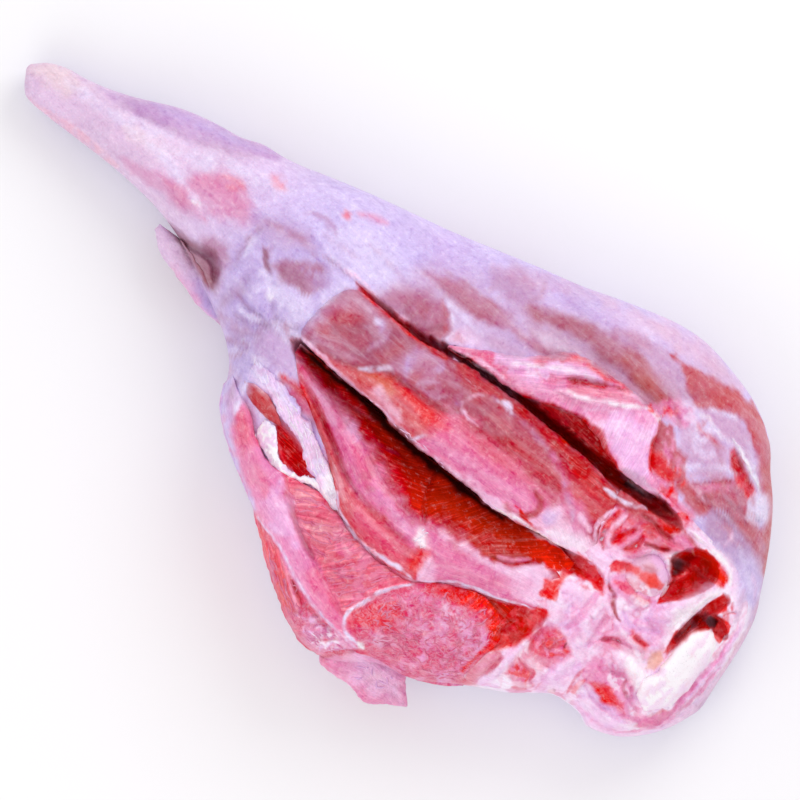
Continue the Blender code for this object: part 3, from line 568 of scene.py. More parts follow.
# Lines: colour, half width, softness, strength, points.
strokes = [
    ("peach", 2, 1, 0.85, [(-204, -18), (-190, -16.5), (-170, -14), (-152, -12.5)]),
    ("fasciaWhite", 2.4, 2, 0.6, [(-195, 0), (-170, 3), (-150, 5), (-128, 4), (-112, 1)]),
    ("leafPink", 1.6, 2.4, 0.5, [(-118, 12), (-111, 16), (-104, 19), (-98, 18.6)]),
    ("coral", 0.9, 1.2, 0.4, [(-112, 16.4), (-106, 19), (-101, 19.6)]),
    ("coral", 0.9, 1.2, 0.35, [(-108, 14), (-103, 16.6)]),
    ("fasciaWhite", 4, 4, 0.6, [(-164, 7), (-130, 14), (-106, 24), (-86, 33)]),
    ("plum", 1, 2, 0.22, [(-168, 10.5), (-142, 17), (-120, 26), (-106, 33)]),
    ("lavender", 1.6, 2, 0.7, [(-150, 21), (-134, 27), (-116, 34)]),
    ("coral", 2.6, 2.4, 0.45, [(-96, 32), (-92, 32), (-89, 31.5)]),
    ("coral", 1.8, 1.8, 0.9, [(-60, 41), (-58.6, 43.5)]),
    ("leafPink", 1.6, 2, 0.5, [(-56, 46), (-50, 49), (-44, 51)]),
    ("white", 1.2, 0.7, 0.9, [(-114, 0), (-111, 1)]),
    # the knee's creases: the plum and mauve-grey lines are painted shade in them
    ("plum", 1.3, 0.9, 0.95, [(-76.5, 6), (-73, 3), (-70, 0.5), (-66, -1)]),
    ("plum", 1, 1.6, 0.55, [(-83, 12), (-83.6, 4), (-82.6, -4), (-80, -9)]),
    ("plum", 2.2, 2.6, 0.4, [(-73, -6), (-72, -15), (-74, -22), (-71, -27)]),
    ("plum", 0.9, 1.3, 0.5, [(-72, -18), (-66, -18.6), (-54, -17.6)]),
    ("plum", 1.6, 2, 0.42, [(-57, -10), (-53, -13.4), (-48, -14), (-43, -13), (-39.5, -9)]),
    ("plum", 1.2, 1.8, 0.4, [(-66, -25), (-60, -24.6), (-55, -21), (-50, -17)]),
    ("mauveGrey", 2.2, 2.4, 0.7, [(-72, -29), (-66, -30), (-59, -29), (-52, -24)]),
    ("plum", 0.8, 1.4, 0.4, [(-56, -19), (-46, -18.6), (-37, -18)]),
    ("bellyRose", 1, 1.2, 0.6, [(-46, -12), (-42, -15), (-38, -15.4)]),
    ("fasciaWhite", 1.3, 1.2, 0.95, [(-81, 8), (-81.4, 2), (-80, -3)]),
    ("fasciaWhite", 1.6, 1.4, 0.9, [(-68, -12), (-66, -7), (-60, -5.6), (-54, -7), (-53, -12)]),
    ("fasciaWhite", 1.3, 1.3, 0.9, [(-69, -20.6), (-62, -21), (-56, -19.8)]),
    ("bellyRose", 1.6, 2, 0.6, [(-84, 15), (-76, 18), (-66, 20), (-57, 18)]),
    # a knee crease darkened with mauve-grey as painted shade
    ("mauveGrey", 1.2, 1.6, 0.8, [(-62, -36), (-56, -33), (-50, -31)]),
    ("bellyRose", 1, 1.2, 0.5, [(-58, -42), (-53, -38), (-50, -33)]),
    ("mauveGrey", 1, 1.4, 0.6, [(-72, 32), (-62, 34), (-56, 31)]),
    ("mauveGrey", 0.7, 0.7, 0.7, [(-54, 21), (-46, 22.2), (-37, 22.4)]),
    ("fasciaWhite", 1, 0.8, 0.7, [(-52, 23), (-44, 24), (-34, 23.8)]),
    ("mauveGrey", 1, 1.4, 0.4, [(-74, 30), (-66, 33), (-60, 31)]),
    ("mauveGrey", 1, 1.4, 0.4, [(-60, 28), (-50, 30), (-42, 31)]),
    ("mauveGrey", 0.8, 1.2, 0.4, [(-44, 39), (-32, 39), (-20, 38)]),
    # painted glints on the knee's fascia
    ("white", 1.3, 1, 0.95, [(-60, -7), (-58.5, -10)]),
    ("white", 1.2, 1, 0.8, [(-47, -34), (-44, -34.5)]),
    ("fasciaWhite", 1.4, 1.2, 0.7, [(-67, -2), (-64, -3)]),
    ("fasciaWhite", 2, 1.6, 0.7, [(-42, -8), (-40.5, 4), (-39.5, 15), (-34, 21)]),
    # painted shade where the calf gap is darkest
    ("plum", 1.2, 1, 0.8, [(-95, -14), (-92, -13.5), (-90, -15)]),
    # mauve-grey in the fascia fold beside the fat pocket, painted shade
    ("mauveGrey", 1.6, 1.6, 0.6, [(-45, -44), (-44, -50), (-41, -57)]),
    ("fasciaWhite", 1.3, 1.2, 0.9, [(-41, -44), (-39, -50), (-35.5, -58)]),
    ("fasciaWhite", 1.2, 1.2, 0.8, [(-46, -38), (-34, -39), (-20, -37.5)]),
    ("pinkWhite", 1, 1, 0.6, [(-42, -41), (-30, -40), (-20, -42)]),
    ("fasciaWhite", 1.2, 1.2, 0.6, [(-38, -50.5), (-28, -51), (-20, -50)]),
    # eye of the leg and its neighbours
    # a painted glint on the eye muscle's upper left, lilac round a pale core
    ("lavender", 1.6, 1.6, 0.55, [(-18, 17), (-14, 15.5), (-12, 13)]),
    ("fasciaWhite", 1.3, 1.3, 0.6, [(-18.5, 16.5), (-14.5, 15.5)]),
    ("membrane", 1.4, 1.4, 0.5, [(-11, 4), (-9.5, 10), (-10.5, 17)]),
    ("lavender", 1.8, 1.6, 0.6, [(5.5, 18), (7, 11), (11, 5.5)]),
    ("greyLilac", 1.2, 1.4, 0.5, [(8, 22), (8.5, 17)]),
    ("greyLilac", 1, 1, 0.6, [(15, 7), (18, 12), (22, 15)]),
    ("lavender", 1.1, 1.1, 0.5, [(19, 21.5), (16.5, 18)]),
    ("greyLilac", 1, 1.2, 0.45, [(26, 9), (29, 14)]),
    ("lavender", 1.2, 1, 0.7, [(34, 12), (35.5, 15)]),
    ("pinkWhite", 0.7, 0.7, 0.75, [(35, 15), (37.5, 12.5), (42, 11.8), (47, 12.5)]),
    ("pinkWhite", 0.7, 0.8, 0.45, [(35.5, 15), (37, 20), (40, 24)]),
    ("membrane", 1.2, 1.6, 0.5, [(44, 26.5), (56, 27), (70, 26.5), (84, 25)]),
    ("pink", 1.6, 1.8, 0.6, [(80, 25.5), (92, 21), (102, 15), (110, 10)]),
    ("membrane", 1.4, 1.4, 0.7, [(92, 20), (100, 15.5), (107, 11)]),
    ("ember", 1.2, 0.8, 0.9, [(-36, 21.4), (-20, 21.8), (-4, 22.4), (6, 23.8), (15, 27), (24, 29.6)]),
    ("pinkWhite", 0.8, 0.7, 0.8, [(-48, 22.8), (-34, 23.8), (-18, 24), (-6, 24.8)]),
    ("pinkWhite", 1.1, 0.9, 0.85, [(-38, -12), (-26, -11.6), (-12, -12.6), (0, -12)]),
    ("pinkWhite", 0.9, 0.8, 0.8, [(0, -11.6), (10, -11), (22, -12.4), (30, -12.8), (42, -11), (56, -10)]),
    ("fasciaWhite", 0.9, 0.8, 0.85, [(30, -12.5), (32, -9), (34, -6)]),
    ("pinkWhite", 1, 0.8, 0.9, [(56, -10), (70, -9.6), (84, -7.6), (94, -5)]),
    ("coral", 1, 1, 0.6, [(22, -26), (28, -23.5), (33, -20)]),
    ("leafPink", 0.8, 0.8, 0.7, [(20, -24), (26, -22.5), (31, -20.5)]),
    ("leafPink", 0.8, 0.8, 0.6, [(0, -20), (8, -18.4), (14, -17)]),
    ("fasciaWhite", 1.3, 0.9, 0.85, [(-8, -5), (-4, -1), (1, 4), (5, 4)]),
    ("fasciaWhite", 0.8, 0.7, 0.8, [(9, 28), (12, 33), (8, 39), (2, 42.5)]),
    ("fasciaWhite", 1.6, 1, 0.9, [(47, 27), (51, 28), (54, 27)]),
    ("fasciaWhite", 1.2, 0.8, 0.85, [(108, 31), (118, 31.5), (127, 36)]),
    ("pinkWhite", 1.4, 0.8, 0.9, [(72, -9), (90, -6), (104, -2.6), (112, 0), (122, 3), (132, 5)]),
    ("white", 0.7, 0.6, 0.9, [(76, -9), (92, -5.6), (104, -3), (113, 1)]),
    # painted shadow along the long slit's upper edge, black, then wine below it
    ("shadowBlack", 2.2, 1.6, 1, [(-33, -16), (-15, -15), (10, -14.5), (30, -15), (60, -12.5), (84, -10)]),
    ("wine", 2, 2.5, 0.45, [(-30, -19), (-5, -18), (15, -18), (35, -19), (48, -16)]),
    ("fasciaWhite", 0.8, 0.5, 0.95, [(22, -51), (28, -57), (40, -59.5), (50, -60.3), (61, -58),
        (74, -57)]),
    ("fasciaWhite", 0.8, 0.5, 0.95, [(74, -58), (79, -52.5), (86, -46.5), (95, -42), (105, -38),
        (119, -31)]),
    ("fasciaWhite", 0.9, 0.5, 0.95, [(75, -58), (69, -66), (64.5, -77), (62.5, -88), (68, -95),
        (78, -95)]),
    ("white", 1.6, 1, 0.8, [(61, -40), (63, -42), (66, -42)]),
    ("white", 1.4, 0.8, 0.9, [(75, -94.5), (78, -95)]),
    ("ember", 1.4, 1, 0.8, [(-31, -31.5), (-24, -29.5), (-16, -31)]),
    ("fasciaWhite", 0.7, 0.6, 0.85, [(4, -85.5), (20, -87.5), (32, -91), (46, -95), (60, -97),
        (76, -97)]),
    ("fascia", 2.4, 1.6, 0.9, [(-48, -46), (-44, -58), (-30, -69), (-18, -75), (0, -84)]),
    ("peach", 4, 3, 0.6, [(86, -103), (94, -102), (100, -100)]),
    # folded flap
    ("white", 0.9, 0.9, 0.8, [(66, 50.5), (76, 54.5), (86, 61), (94, 67), (98, 70)]),
    ("white", 1, 1.2, 0.6, [(40, 43), (50, 50), (60, 58), (70, 63)]),
    ("pinkWhite", 0.8, 0.9, 0.7, [(18, 31), (30, 34), (44, 36)]),
    # slit seen from above; its black and wine lines are painted shade down in it
    ("shadowBlack", 0.8, 0.7, 1, [(14, 28), (24, 31), (36, 32.5), (50, 33.5)]),
    ("wine", 1.5, 0.9, 0.9, [(48, 33.5), (62, 34.6), (76, 35.2), (90, 36), (104, 37.5)]),
    ("shadowBlack", 1.2, 0.9, 0.9, [(84, 36), (96, 36.8), (108, 38), (120, 40.2), (130, 41)]),
    ("wine", 1.6, 1.2, 0.9, [(124, 41.5), (132, 43.4), (138, 43)]),
    ("rust", 1.2, 1.2, 0.7, [(142, 41), (150, 40.3), (158, 40)]),
    ("brownRose", 0.9, 0.9, 0.55, [(-2, 42), (4, 39), (8, 34), (10, 29)]),
    ("fasciaWhite", 1, 1.2, 0.7, [(0, 44), (10, 43), (20, 43)]),
    ("bandRose", 0.9, 1.2, 0.4, [(-10, 54), (4, 56), (18, 56.6)]),
    ("bandRose", 0.9, 1.4, 0.45, [(27, 80), (29, 74), (26, 68)]),
    # rump
    ("white", 0.6, 0.8, 0.8, [(136, 86), (144, 84), (150, 82), (161, 78)]),
    ("white", 0.8, 0.9, 0.5, [(117, 84), (121, 85), (125, 83), (132, 83), (138, 85)]),
    ("bandRose", 1, 1.2, 0.5, [(126, 80), (132, 78), (139, 74)]),
    ("rust", 0.8, 1, 0.6, [(118, 66), (122, 62), (121, 57)]),
    ("flapPink", 0.8, 0.9, 0.7, [(113, 63), (117, 60), (123, 61), (127, 58)]),
    ("flapPink", 0.8, 0.9, 0.6, [(134, 58), (140, 60), (146, 66), (152, 72)]),
    ("brownRose", 0.9, 1.2, 0.5, [(146, 60), (154, 64), (166, 68)]),
    ("fasciaWhite", 1, 0.8, 0.8, [(116, 82), (118, 79), (123, 79.5), (126, 82)]),
    ("brownRose", 1, 0.8, 0.9, [(119.5, 82.4), (121, 81)]),
    ("fasciaWhite", 1.1, 1, 0.7, [(118, 88), (126, 92), (133, 95)]),
    ("fasciaWhite", 1, 1, 0.6, [(140, 91), (148, 86), (152, 82)]),
    ("bandRose", 2, 2.5, 0.5, [(106, 86), (112, 90), (116, 88)]),
    ("fasciaWhite", 1, 1.2, 0.55, [(128, 61), (134, 68), (141, 74), (150, 77)]),
    ("pink", 0.9, 1, 0.6, [(136, 57), (142, 64), (150, 72)]),
    ("paleBand", 0.9, 0.9, 0.8, [(140, 56), (150, 60), (162, 62)]),
    ("paleBand", 0.9, 0.9, 0.8, [(146, 66), (152, 64), (158, 65), (155, 69), (148, 70), (146, 66)]),
    ("pinkWhite", 0.8, 0.8, 0.6, [(133, 56.5), (138, 58), (144, 57.4)]),
    ("rust", 1, 1.2, 0.6, [(132, 53), (140, 55), (150, 53)]),
    ("coral", 1, 1.4, 0.5, [(126, 46), (132, 47.6), (140, 46), (148, 44)]),
    ("fasciaWhite", 1.2, 1.4, 0.5, [(170, 52), (180, 48), (190, 42)]),
    ("stripRed", 1.6, 1.6, 0.7, [(139, 81), (146, 77.5), (152, 76)]),
    # painted shade along the upper edge of the rump's red hole, under the torn sheet
    ("wine", 0.8, 0.8, 0.7, [(139, 83.5), (147, 79.8), (156, 77)]),
    ("brownRose", 0.8, 1.2, 0.5, [(119, 79.6), (128, 78.4), (136, 80)]),
    ("brownRose", 1, 1.2, 0.55, [(141, 71), (137, 65), (131, 59.5)]),
    ("bandRose", 0.9, 1.2, 0.5, [(150, 58.6), (158, 60.4), (168, 58.6), (178, 58)]),
    ("rimRose", 0.9, 1, 0.55, [(156, 53), (162, 56), (166, 53), (172, 54)]),
    ("pinkWhite", 0.8, 0.9, 0.6, [(163, 57), (166, 53.4), (165, 49)]),
    ("pinkWhite", 1, 1.2, 0.5, [(184, 48), (189, 46), (193, 41)]),
    ("flapPink", 1.2, 1.2, 0.7, [(103, 79), (107, 81), (111, 79)]),
    ("rust", 1.2, 1.6, 0.7, [(152, 77), (158, 75), (162, 72)]),
    ("ember", 1, 0.8, 0.9, [(143, 46), (146, 42)]),
    ("ember", 0.9, 0.7, 0.9, [(130, 52), (131, 46)]),
    ("coral", 0.8, 1, 0.35, [(117, 80), (124, 78.5), (131, 79.5)]),
    ("white", 1.2, 1, 0.9, [(148, 43), (160, 43.5), (172, 43), (179, 38)]),
    ("wine", 0.6, 0.5, 0.9, [(153.8, -50.5), (155.5, -51)]),
    ("tan", 1.2, 0.8, 0.6, [(153, -53), (156, -52)]),
]
# Folds and creases of the cut end: height, half width, colour, strength, points.
folds = [
    (4.5, 5.5, "pinkWhite", 0.5, [(161, 2), (167, 9), (170, 18), (171.5, 27), (176, 35)]),
    (1.5, 1.6, "white", 0.8, [(174.5, 4), (174.5, 14), (174.5, 24), (178, 33)]),
    (3, 4, "pinkWhite", 0.4, [(158, -2), (166, -4), (172, -4), (174, -12)]),
    (3.5, 3.6, "white", 0.7, [(148, 4), (153, 4), (158, 6)]),
    (3, 6, "fat", 0.5, [(126, -16), (129, -23), (130, -30)]),
    (2.4, 4.5, "fat", 0.5, [(141, -16), (146, -22), (147, -29)]),
    (2, 3, "fat", 0.4, [(139, -4), (142, -10), (143, -15)]),
    (-1.6, 2.2, "flapPink", 0.7, [(137, -4), (138, -12), (139, -20), (137, -28)]),
    (-1.6, 2.2, "flapPink", 0.7, [(148, -9), (149, -17), (151, -26)]),
    (2.5, 3.6, "fat", 0.4, [(150, -33), (149, -42), (150, -50)]),
    (2.2, 2.6, "lilac", 0.6, [(129.5, -37), (128.5, -46), (129, -58), (130, -69)]),
    (1.4, 2.6, "cutPink", 0.5, [(123, -56), (123, -70)]),
    (-1.6, 1.2, "leafPink", 0.8, [(126, -54), (126.5, -64), (126, -74)]),
    (2.4, 3.2, "fat", 0.5, [(134, -47), (140, -48.5), (146, -46)]),
    (2, 3, "fat", 0.5, [(134, -61), (138, -62), (145, -55)]),
    (-1.6, 1.4, "cutRed", 0.9, [(131, -50.5), (137, -51), (141, -51), (143, -55)]),
    (-1.6, 1.4, "cutRed", 0.9, [(139, -63), (142, -60.5), (145, -58)]),
    (-1.6, 1.6, "cutRed", 0.8, [(130, -33), (131, -40), (134, -46)]),
    (-1.2, 0.8, "wine", 0.7, [(142.5, -31), (143.5, -34)]),
    (-1, 1.4, "cutRed", 0.9, [(156.5, -33), (157, -38), (158, -42), (159.5, -46), (160.5, -48.5)]),
    (1.4, 2.2, "coral", 0.7, [(161, -37), (160.5, -41), (162, -46)]),
    (3, 4.5, "fat", 0.6, [(165, -44.5), (175, -45), (185, -42), (193, -36)]),
    (2.4, 3.2, "cutPink", 0.1, [(158, -30), (166, -33), (176, -33), (186, -35)]),
    # a crease in the bottom fat, lilac as painted shade
    (-1.4, 2, "lilac", 0.8, [(162, -39), (172, -41), (184, -40), (190, -38)]),
    (-1.6, 1.8, "pink", 0.8, [(163, -24), (168, -26.5), (173, -23.5), (178, -25.5), (183, -30.5),
        (190, -32)]),
    (-1.2, 1.4, "brownRose", 0.6, [(174, -24), (176, -28), (181, -31)]),
    (3, 4.2, "white", 0.7, [(166, -17), (174, -20), (182, -24)]),
    (-1.4, 1.3, "cutPink", 0.8, [(151, -22), (155, -17), (161, -14), (167, -12)]),
    (-1.4, 1.8, "coral", 0.8, [(162.5, -8), (166.5, -8.3), (171, -6)]),
    (-1.4, 1.6, "cutRed", 0.8, [(153, -20), (157, -15), (161, -15)]),
    (2, 2.4, "fat", 0.5, [(154, -10), (162, -11), (170, -10)]),
    # creases in the fat's lower part, lilac as painted shade
    (-1.2, 1.6, "lilac", 0.8, [(150, -3), (158, -6), (166, -2), (171, 2)]),
    (-1, 1.4, "lilac", 0.7, [(160, 0), (165, 3), (171, 8)]),
    (-1.4, 1.3, "stripRed", 1, [(136, 3), (139, 0.3), (143, -1), (146, -4.5), (150, -7), (154, -8.2)]),
    (2, 2, "pinkWhite", 0.9, [(133, 7), (135, 2), (139, -2.2), (144, -6), (150, -9.5)]),
    # fan of folds beside the ball
    (1.8, 1.7, "pinkWhite", 1, [(117, 26), (116.6, 20), (117.5, 14), (121, 10)]),
    (-2.2, 1.4, "coral", 0.9, [(119.8, 28), (119.6, 20), (121.4, 14), (126, 10)]),
    (2.2, 2.4, "pinkWhite", 0.9, [(123.4, 30), (122.2, 23), (123.2, 16), (127, 12.5)]),
    (-3, 1.9, "ember", 1, [(125.8, 14.5), (126.6, 19), (128.4, 23), (130.6, 27.5)]),
    (2.6, 2.2, "flapPink", 0.9, [(129.6, 15), (131, 20), (132.4, 25), (132, 29)]),
    (-2.8, 1.5, "coral", 1, [(132, 16.6), (134.4, 19.6), (135.6, 23.6), (134.6, 27)]),
    (2.6, 2.2, "flapPink", 0.9, [(134.5, 13.6), (138, 17.6), (140, 22), (141.6, 25)]),
    (-2.2, 1.4, "stripRed", 1, [(137, 24), (140.4, 26), (145, 28.4), (148, 31)]),
    (2.2, 1.8, "pinkWhite", 0.9, [(128, 11.6), (134, 12.4), (140, 16), (144, 21), (148, 25)]),
    (2.2, 2.2, "leafPink", 0.7, [(136, 31), (143, 31), (149, 32.4), (153, 35)]),
    (2.4, 2.4, "flapPink", 0.9, [(145, 35), (150, 37), (158, 36.6)]),
    (0.8, 1, "tan", 0.8, [(155, 37), (159, 36)]),
    (-1.8, 1.6, "stripRed", 0.8, [(127, 33), (134, 34), (141, 33.5), (146, 35)]),
    (1.4, 2.4, "pinkWhite", 0.9, [(106, 15), (112, 13), (117, 12)]),
    (1.6, 2.4, "pinkWhite", 0.9, [(118, 6), (127, 7), (133, 9)]),
    # flesh above the gap, and the rim
    (1.5, 3, "skinLilac", 0.7, [(186, 42), (190, 32), (193, 27)]),
    (-1, 0.8, "coral", 0.8, [(185.5, 33), (188, 30)]),
    (-1, 0.7, "coral", 0.7, [(186, 24.5), (187.5, 28), (190, 31)]),
    (1.4, 2.4, "lilac", 0.6, [(196, 30), (199, 14), (200, -4), (201, -20)]),
    (-1.6, 1.6, "pink", 0.8, [(197, 22), (198.5, 8), (198.5, -6), (199.5, -16), (201.5, -26),
        (197, -35)]),
    (1.6, 2, "pinkWhite", 0.6, [(199, 38), (203, 24), (205.5, 8), (206.5, -8), (205, -22), (200, -33),
        (192, -43)]),
    (-1.4, 1.5, "pink", 0.8, [(202, 10), (203, -6), (203.5, -18), (202, -30), (195, -39), (187, -47)]),
    # torn edges of the rump
    (1, 1.5, "fasciaWhite", 0.3, [(134, 86), (144, 84), (150, 82), (161, 78)]),
    (-1, 1.6, "bandRose", 0.5, [(104, 80), (110, 76), (116, 72)]),
    (1.2, 2, "fasciaWhite", 0.4, [(128, 61), (134, 68), (141, 74), (150, 77)]),
    (-1.2, 1.4, "rust", 0.5, [(134, 57), (141, 65), (149, 73)]),
    (1, 1.6, "paleBand", 0.5, [(139, 55), (150, 59), (164, 60)]),
    (-1, 1.4, "duskyRose", 0.6, [(138, 53), (150, 56), (166, 57)]),
    (-3, 3.4, "ember", 0.3, [(140, 81), (148, 78), (157, 74.5)]),
    (1.2, 3.5, "duskyRose", 0, [(134, 54), (144, 62), (158, 66), (172, 62)]),
    (-1.2, 1.2, "rust", 0.6, [(132, 55), (140, 58), (150, 59)]),
    (-1, 1, "paleBand", 0.6, [(146, 62), (156, 64), (168, 63)]),
    (1.8, 3, "skinLilac", 0.4, [(120, 74), (128, 70), (136, 72)]),
    (-1.6, 1.6, "ember", 0.5, [(108, 64), (112, 56), (118, 52), (128, 54)]),
    (1.2, 1.5, "flapPink", 0.7, [(126, 48), (134, 47), (143, 48)]),
    (-1.2, 1, "coral", 0.6, [(127, 44), (128, 50), (126, 58)]),
    (2, 4, "white", 0.3, [(162, 75), (167, 72), (169, 68)]),
    (2, 2, "pinkWhite", 0.5, [(148, 43), (160, 44), (172, 43), (180, 38)]),
    # ridges of the folded flap
    (2.6, 4, "pinkWhite", 0.3, [(34, 40), (46, 47), (58, 56), (70, 63), (80, 67)]),
    (-2.6, 2.2, "stripRed", 0.5, [(61, 54), (70, 60.5), (78, 65), (84, 68)]),
    (2.4, 2.8, "pinkWhite", 0.5, [(60, 47), (70, 51.5), (80, 57), (90, 64), (98, 69.5)]),
    (-1.4, 2.4, "flapPink", 0.3, [(64, 44), (78, 50), (90, 58), (97, 64)]),
    (1.4, 5, "lilac", 0, [(92, 50), (100, 56), (103, 64)]),
    # streaks of the lower edge
    (-1.2, 1.2, "coral", 0.9, [(18, -91), (28, -95), (38, -100)]),
    (1.4, 1.4, "cutPink", 0.8, [(22, -90), (34, -95.5), (46, -103)]),
    (-1.2, 1.1, "cutRed", 0.9, [(34, -94), (44, -98.5), (54, -104)]),
    (1.2, 1.1, "lilac", 0.8, [(46, -106), (52, -101), (56, -97.6)]),
    (1.2, 1.1, "lilac", 0.8, [(54, -108), (60, -102), (64, -98)]),
    (-1.2, 1, "cutRed", 0.8, [(50, -107), (56, -101), (60, -97.6)]),
    (-1.2, 1, "cutRed", 0.8, [(60, -107), (65, -102), (68, -98.6)]),
    (-2.2, 2, "stripRed", 0.6, [(77, -97), (73, -103), (69.5, -109), (68, -113)]),
    # seams between the muscles
    (-2.6, 2.6, "plum", 0.3, [(-36, -11), (-22, -9), (-8, -4.5), (0, 2), (12, 4.2), (26, 5.5), (38, 9)]),
    (-1, 3, "stripRed", 0.5, [(38, 9), (52, 12), (66, 13.5), (80, 13), (90, 11)]),
    (2.2, 10, "belly", 0, [(-32, 5), (-10, 8), (16, 14), (30, 16)]),
    (2.6, 8, "leafPink", 0, [(-6, -8), (14, -3), (40, -1), (66, 3), (88, 2)]),
    (2, 8, "strip", 0, [(40, 20), (66, 22), (92, 20)]),
    (-1.6, 1.8, "stripRed", 0.5, [(84, 9), (91, 6), (93, 1), (89, -4)]),
    (-2.6, 1.8, "deep", 0.8, [(48, -13), (50, -20), (54, -28), (60, -35.5)]),
    (2.6, 7, "deep", 0, [(56, -20), (76, -19), (98, -13)]),
    (2.4, 6, "deep", 0, [(0, -22), (24, -26), (44, -28)]),
    (-1.8, 1.6, "stripRed", 0.9, [(90, -26), (97, -23), (103, -19), (109, -13)]),
    (1.6, 1.8, "flapPink", 0.8, [(92, -24), (99, -20.5), (106, -14)]),
    (3, 5, "pink", 0, [(-10, -27), (10, -32), (30, -38), (54, -40)]),
    (-2.8, 2.2, "stripRed", 0.7, [(-22, -26), (-8, -30.5), (6, -36.5), (18, -42.5), (30, -46)]),
    (-2, 2.4, "brownRose", 0.6, [(26, -45.2), (40, -46.5), (54, -46.5), (63, -45)]),
    (2.6, 5, "strap", 0, [(-6, -35), (14, -46), (32, -53), (58, -54)]),
    (3, 6, "pink", 0, [(70, -40), (84, -38), (100, -32)]),
    (-1.6, 2, "coral", 0.6, [(65, -43), (68, -49), (69, -56)]),
    (1.6, 1.8, "pinkWhite", 0.7, [(72, -43), (74, -50), (75, -56)]),
    (-2.6, 2.4, "deepRose", 0.5, [(4, -67), (16, -72.5), (28, -78), (36, -81)]),
    (-1.6, 2.4, "coral", 0.4, [(36, -81), (48, -85.5), (62, -91)]),
    (2.6, 7, "outerPink", 0, [(-40, -57), (-20, -68), (0, -76), (20, -82), (44, -89), (62, -94)]),
    (-2.4, 2.2, "coral", 0.4, [(2, -86), (18, -90), (32, -94), (46, -97.5), (66, -99)]),
    (2.2, 7, "flesh", 0, [(24, -67), (44, -72), (58, -74)]),
    (1.8, 6, "flesh", 0, [(30, -100), (50, -105), (66, -106)]),
    (-2, 2, "cutRed", 0.4, [(76, -59), (70, -67), (65.5, -78), (64, -87)]),
    (2.4, 12, "flesh", 0, [(78, -72), (94, -68), (108, -66)]),
    # knee lumps and flank seams; the plum and mauve-grey in the knee's creases is painted shade
    (1.8, 5, "fasciaWhite", 0.2, [(-62, -4), (-52, -3), (-42, -3)]),
    (1.6, 4, "fasciaWhite", 0.2, [(-66, -6), (-66, -13), (-60, -14)]),
    (1.8, 4, "fasciaWhite", 0.3, [(-56, -31), (-53, -36)]),
    (-1.8, 2.6, "plum", 0, [(-73, -8), (-71, -16), (-66, -18.6), (-54, -17)]),
    (-2, 3, "plum", 0, [(-57, -10), (-50, -14), (-43, -13), (-39, -9)]),
    (-2, 3, "mauveGrey", 0.2, [(-70, -29.5), (-62, -30), (-54, -27), (-49, -22)]),
    (-1.4, 2.6, "mauveGrey", 0, [(-66, -25), (-60, -24.6), (-55, -21), (-50, -17)]),
    (-1.4, 1.8, "mauveGrey", 0.5, [(-62, -36), (-56, -33), (-50, -31)]),
    (1.6, 2.6, "fascia", 0.3, [(-70, -23), (-64, -23), (-59, -19)]),
    (-1.2, 2, "mauveGrey", 0.3, [(-83, 12), (-83.6, 4), (-82.6, -4)]),
    (1.4, 5, "fascia", 0, [(-77, 8), (-77, -4), (-78, -14)]),
    (-1, 1.8, "plum", 0.2, [(-76, 6), (-72, 2), (-66, -1)]),
    (1.4, 6, "skinLilac", 0, [(-52, -25), (-42, -25), (-34, -25)]),
    (1.6, 2.4, "fasciaWhite", 0.4, [(-52, -16), (-44, -14.5), (-36, -14)]),
    (-1.2, 1.6, "mauveGrey", 0.3, [(-54, 21), (-46, 22), (-38, 22)]),
    (-1.4, 2, "mauveGrey", 0.4, [(-45, -43), (-44, -50), (-40, -58)]),
    (1.4, 2.2, "fasciaWhite", 0.4, [(-41, -43), (-38.6, -50), (-35, -58)]),
    (1.5, 6, "mauve", 0, [(-165, 13), (-148, 20), (-130, 27), (-112, 34)]),
    (1.2, 5, "mauve", 0, [(-145, -6), (-125, -2), (-108, -3)]),
    (1.2, 6, "bandRose", 0, [(36, 70), (60, 77), (84, 79), (104, 77)]),
    (1.2, 5, "bandRose", 0, [(-10, 49), (10, 52), (30, 55), (48, 58)]),
    (2.2, 8, "bandRose", 0, [(-12, 31), (0, 33), (4, 31)]),
    (-0.8, 2.5, "greyRose", 0.3, [(30, 60), (50, 67), (76, 72), (100, 74)]),
    (-0.8, 2, "greyRose", 0.3, [(60, 86), (80, 86.5), (98, 84.5), (110, 83)]),
    (1.4, 5, "brownRose", 0, [(92, 95), (112, 95), (132, 99), (148, 93), (160, 84), (176, 68)]),
]

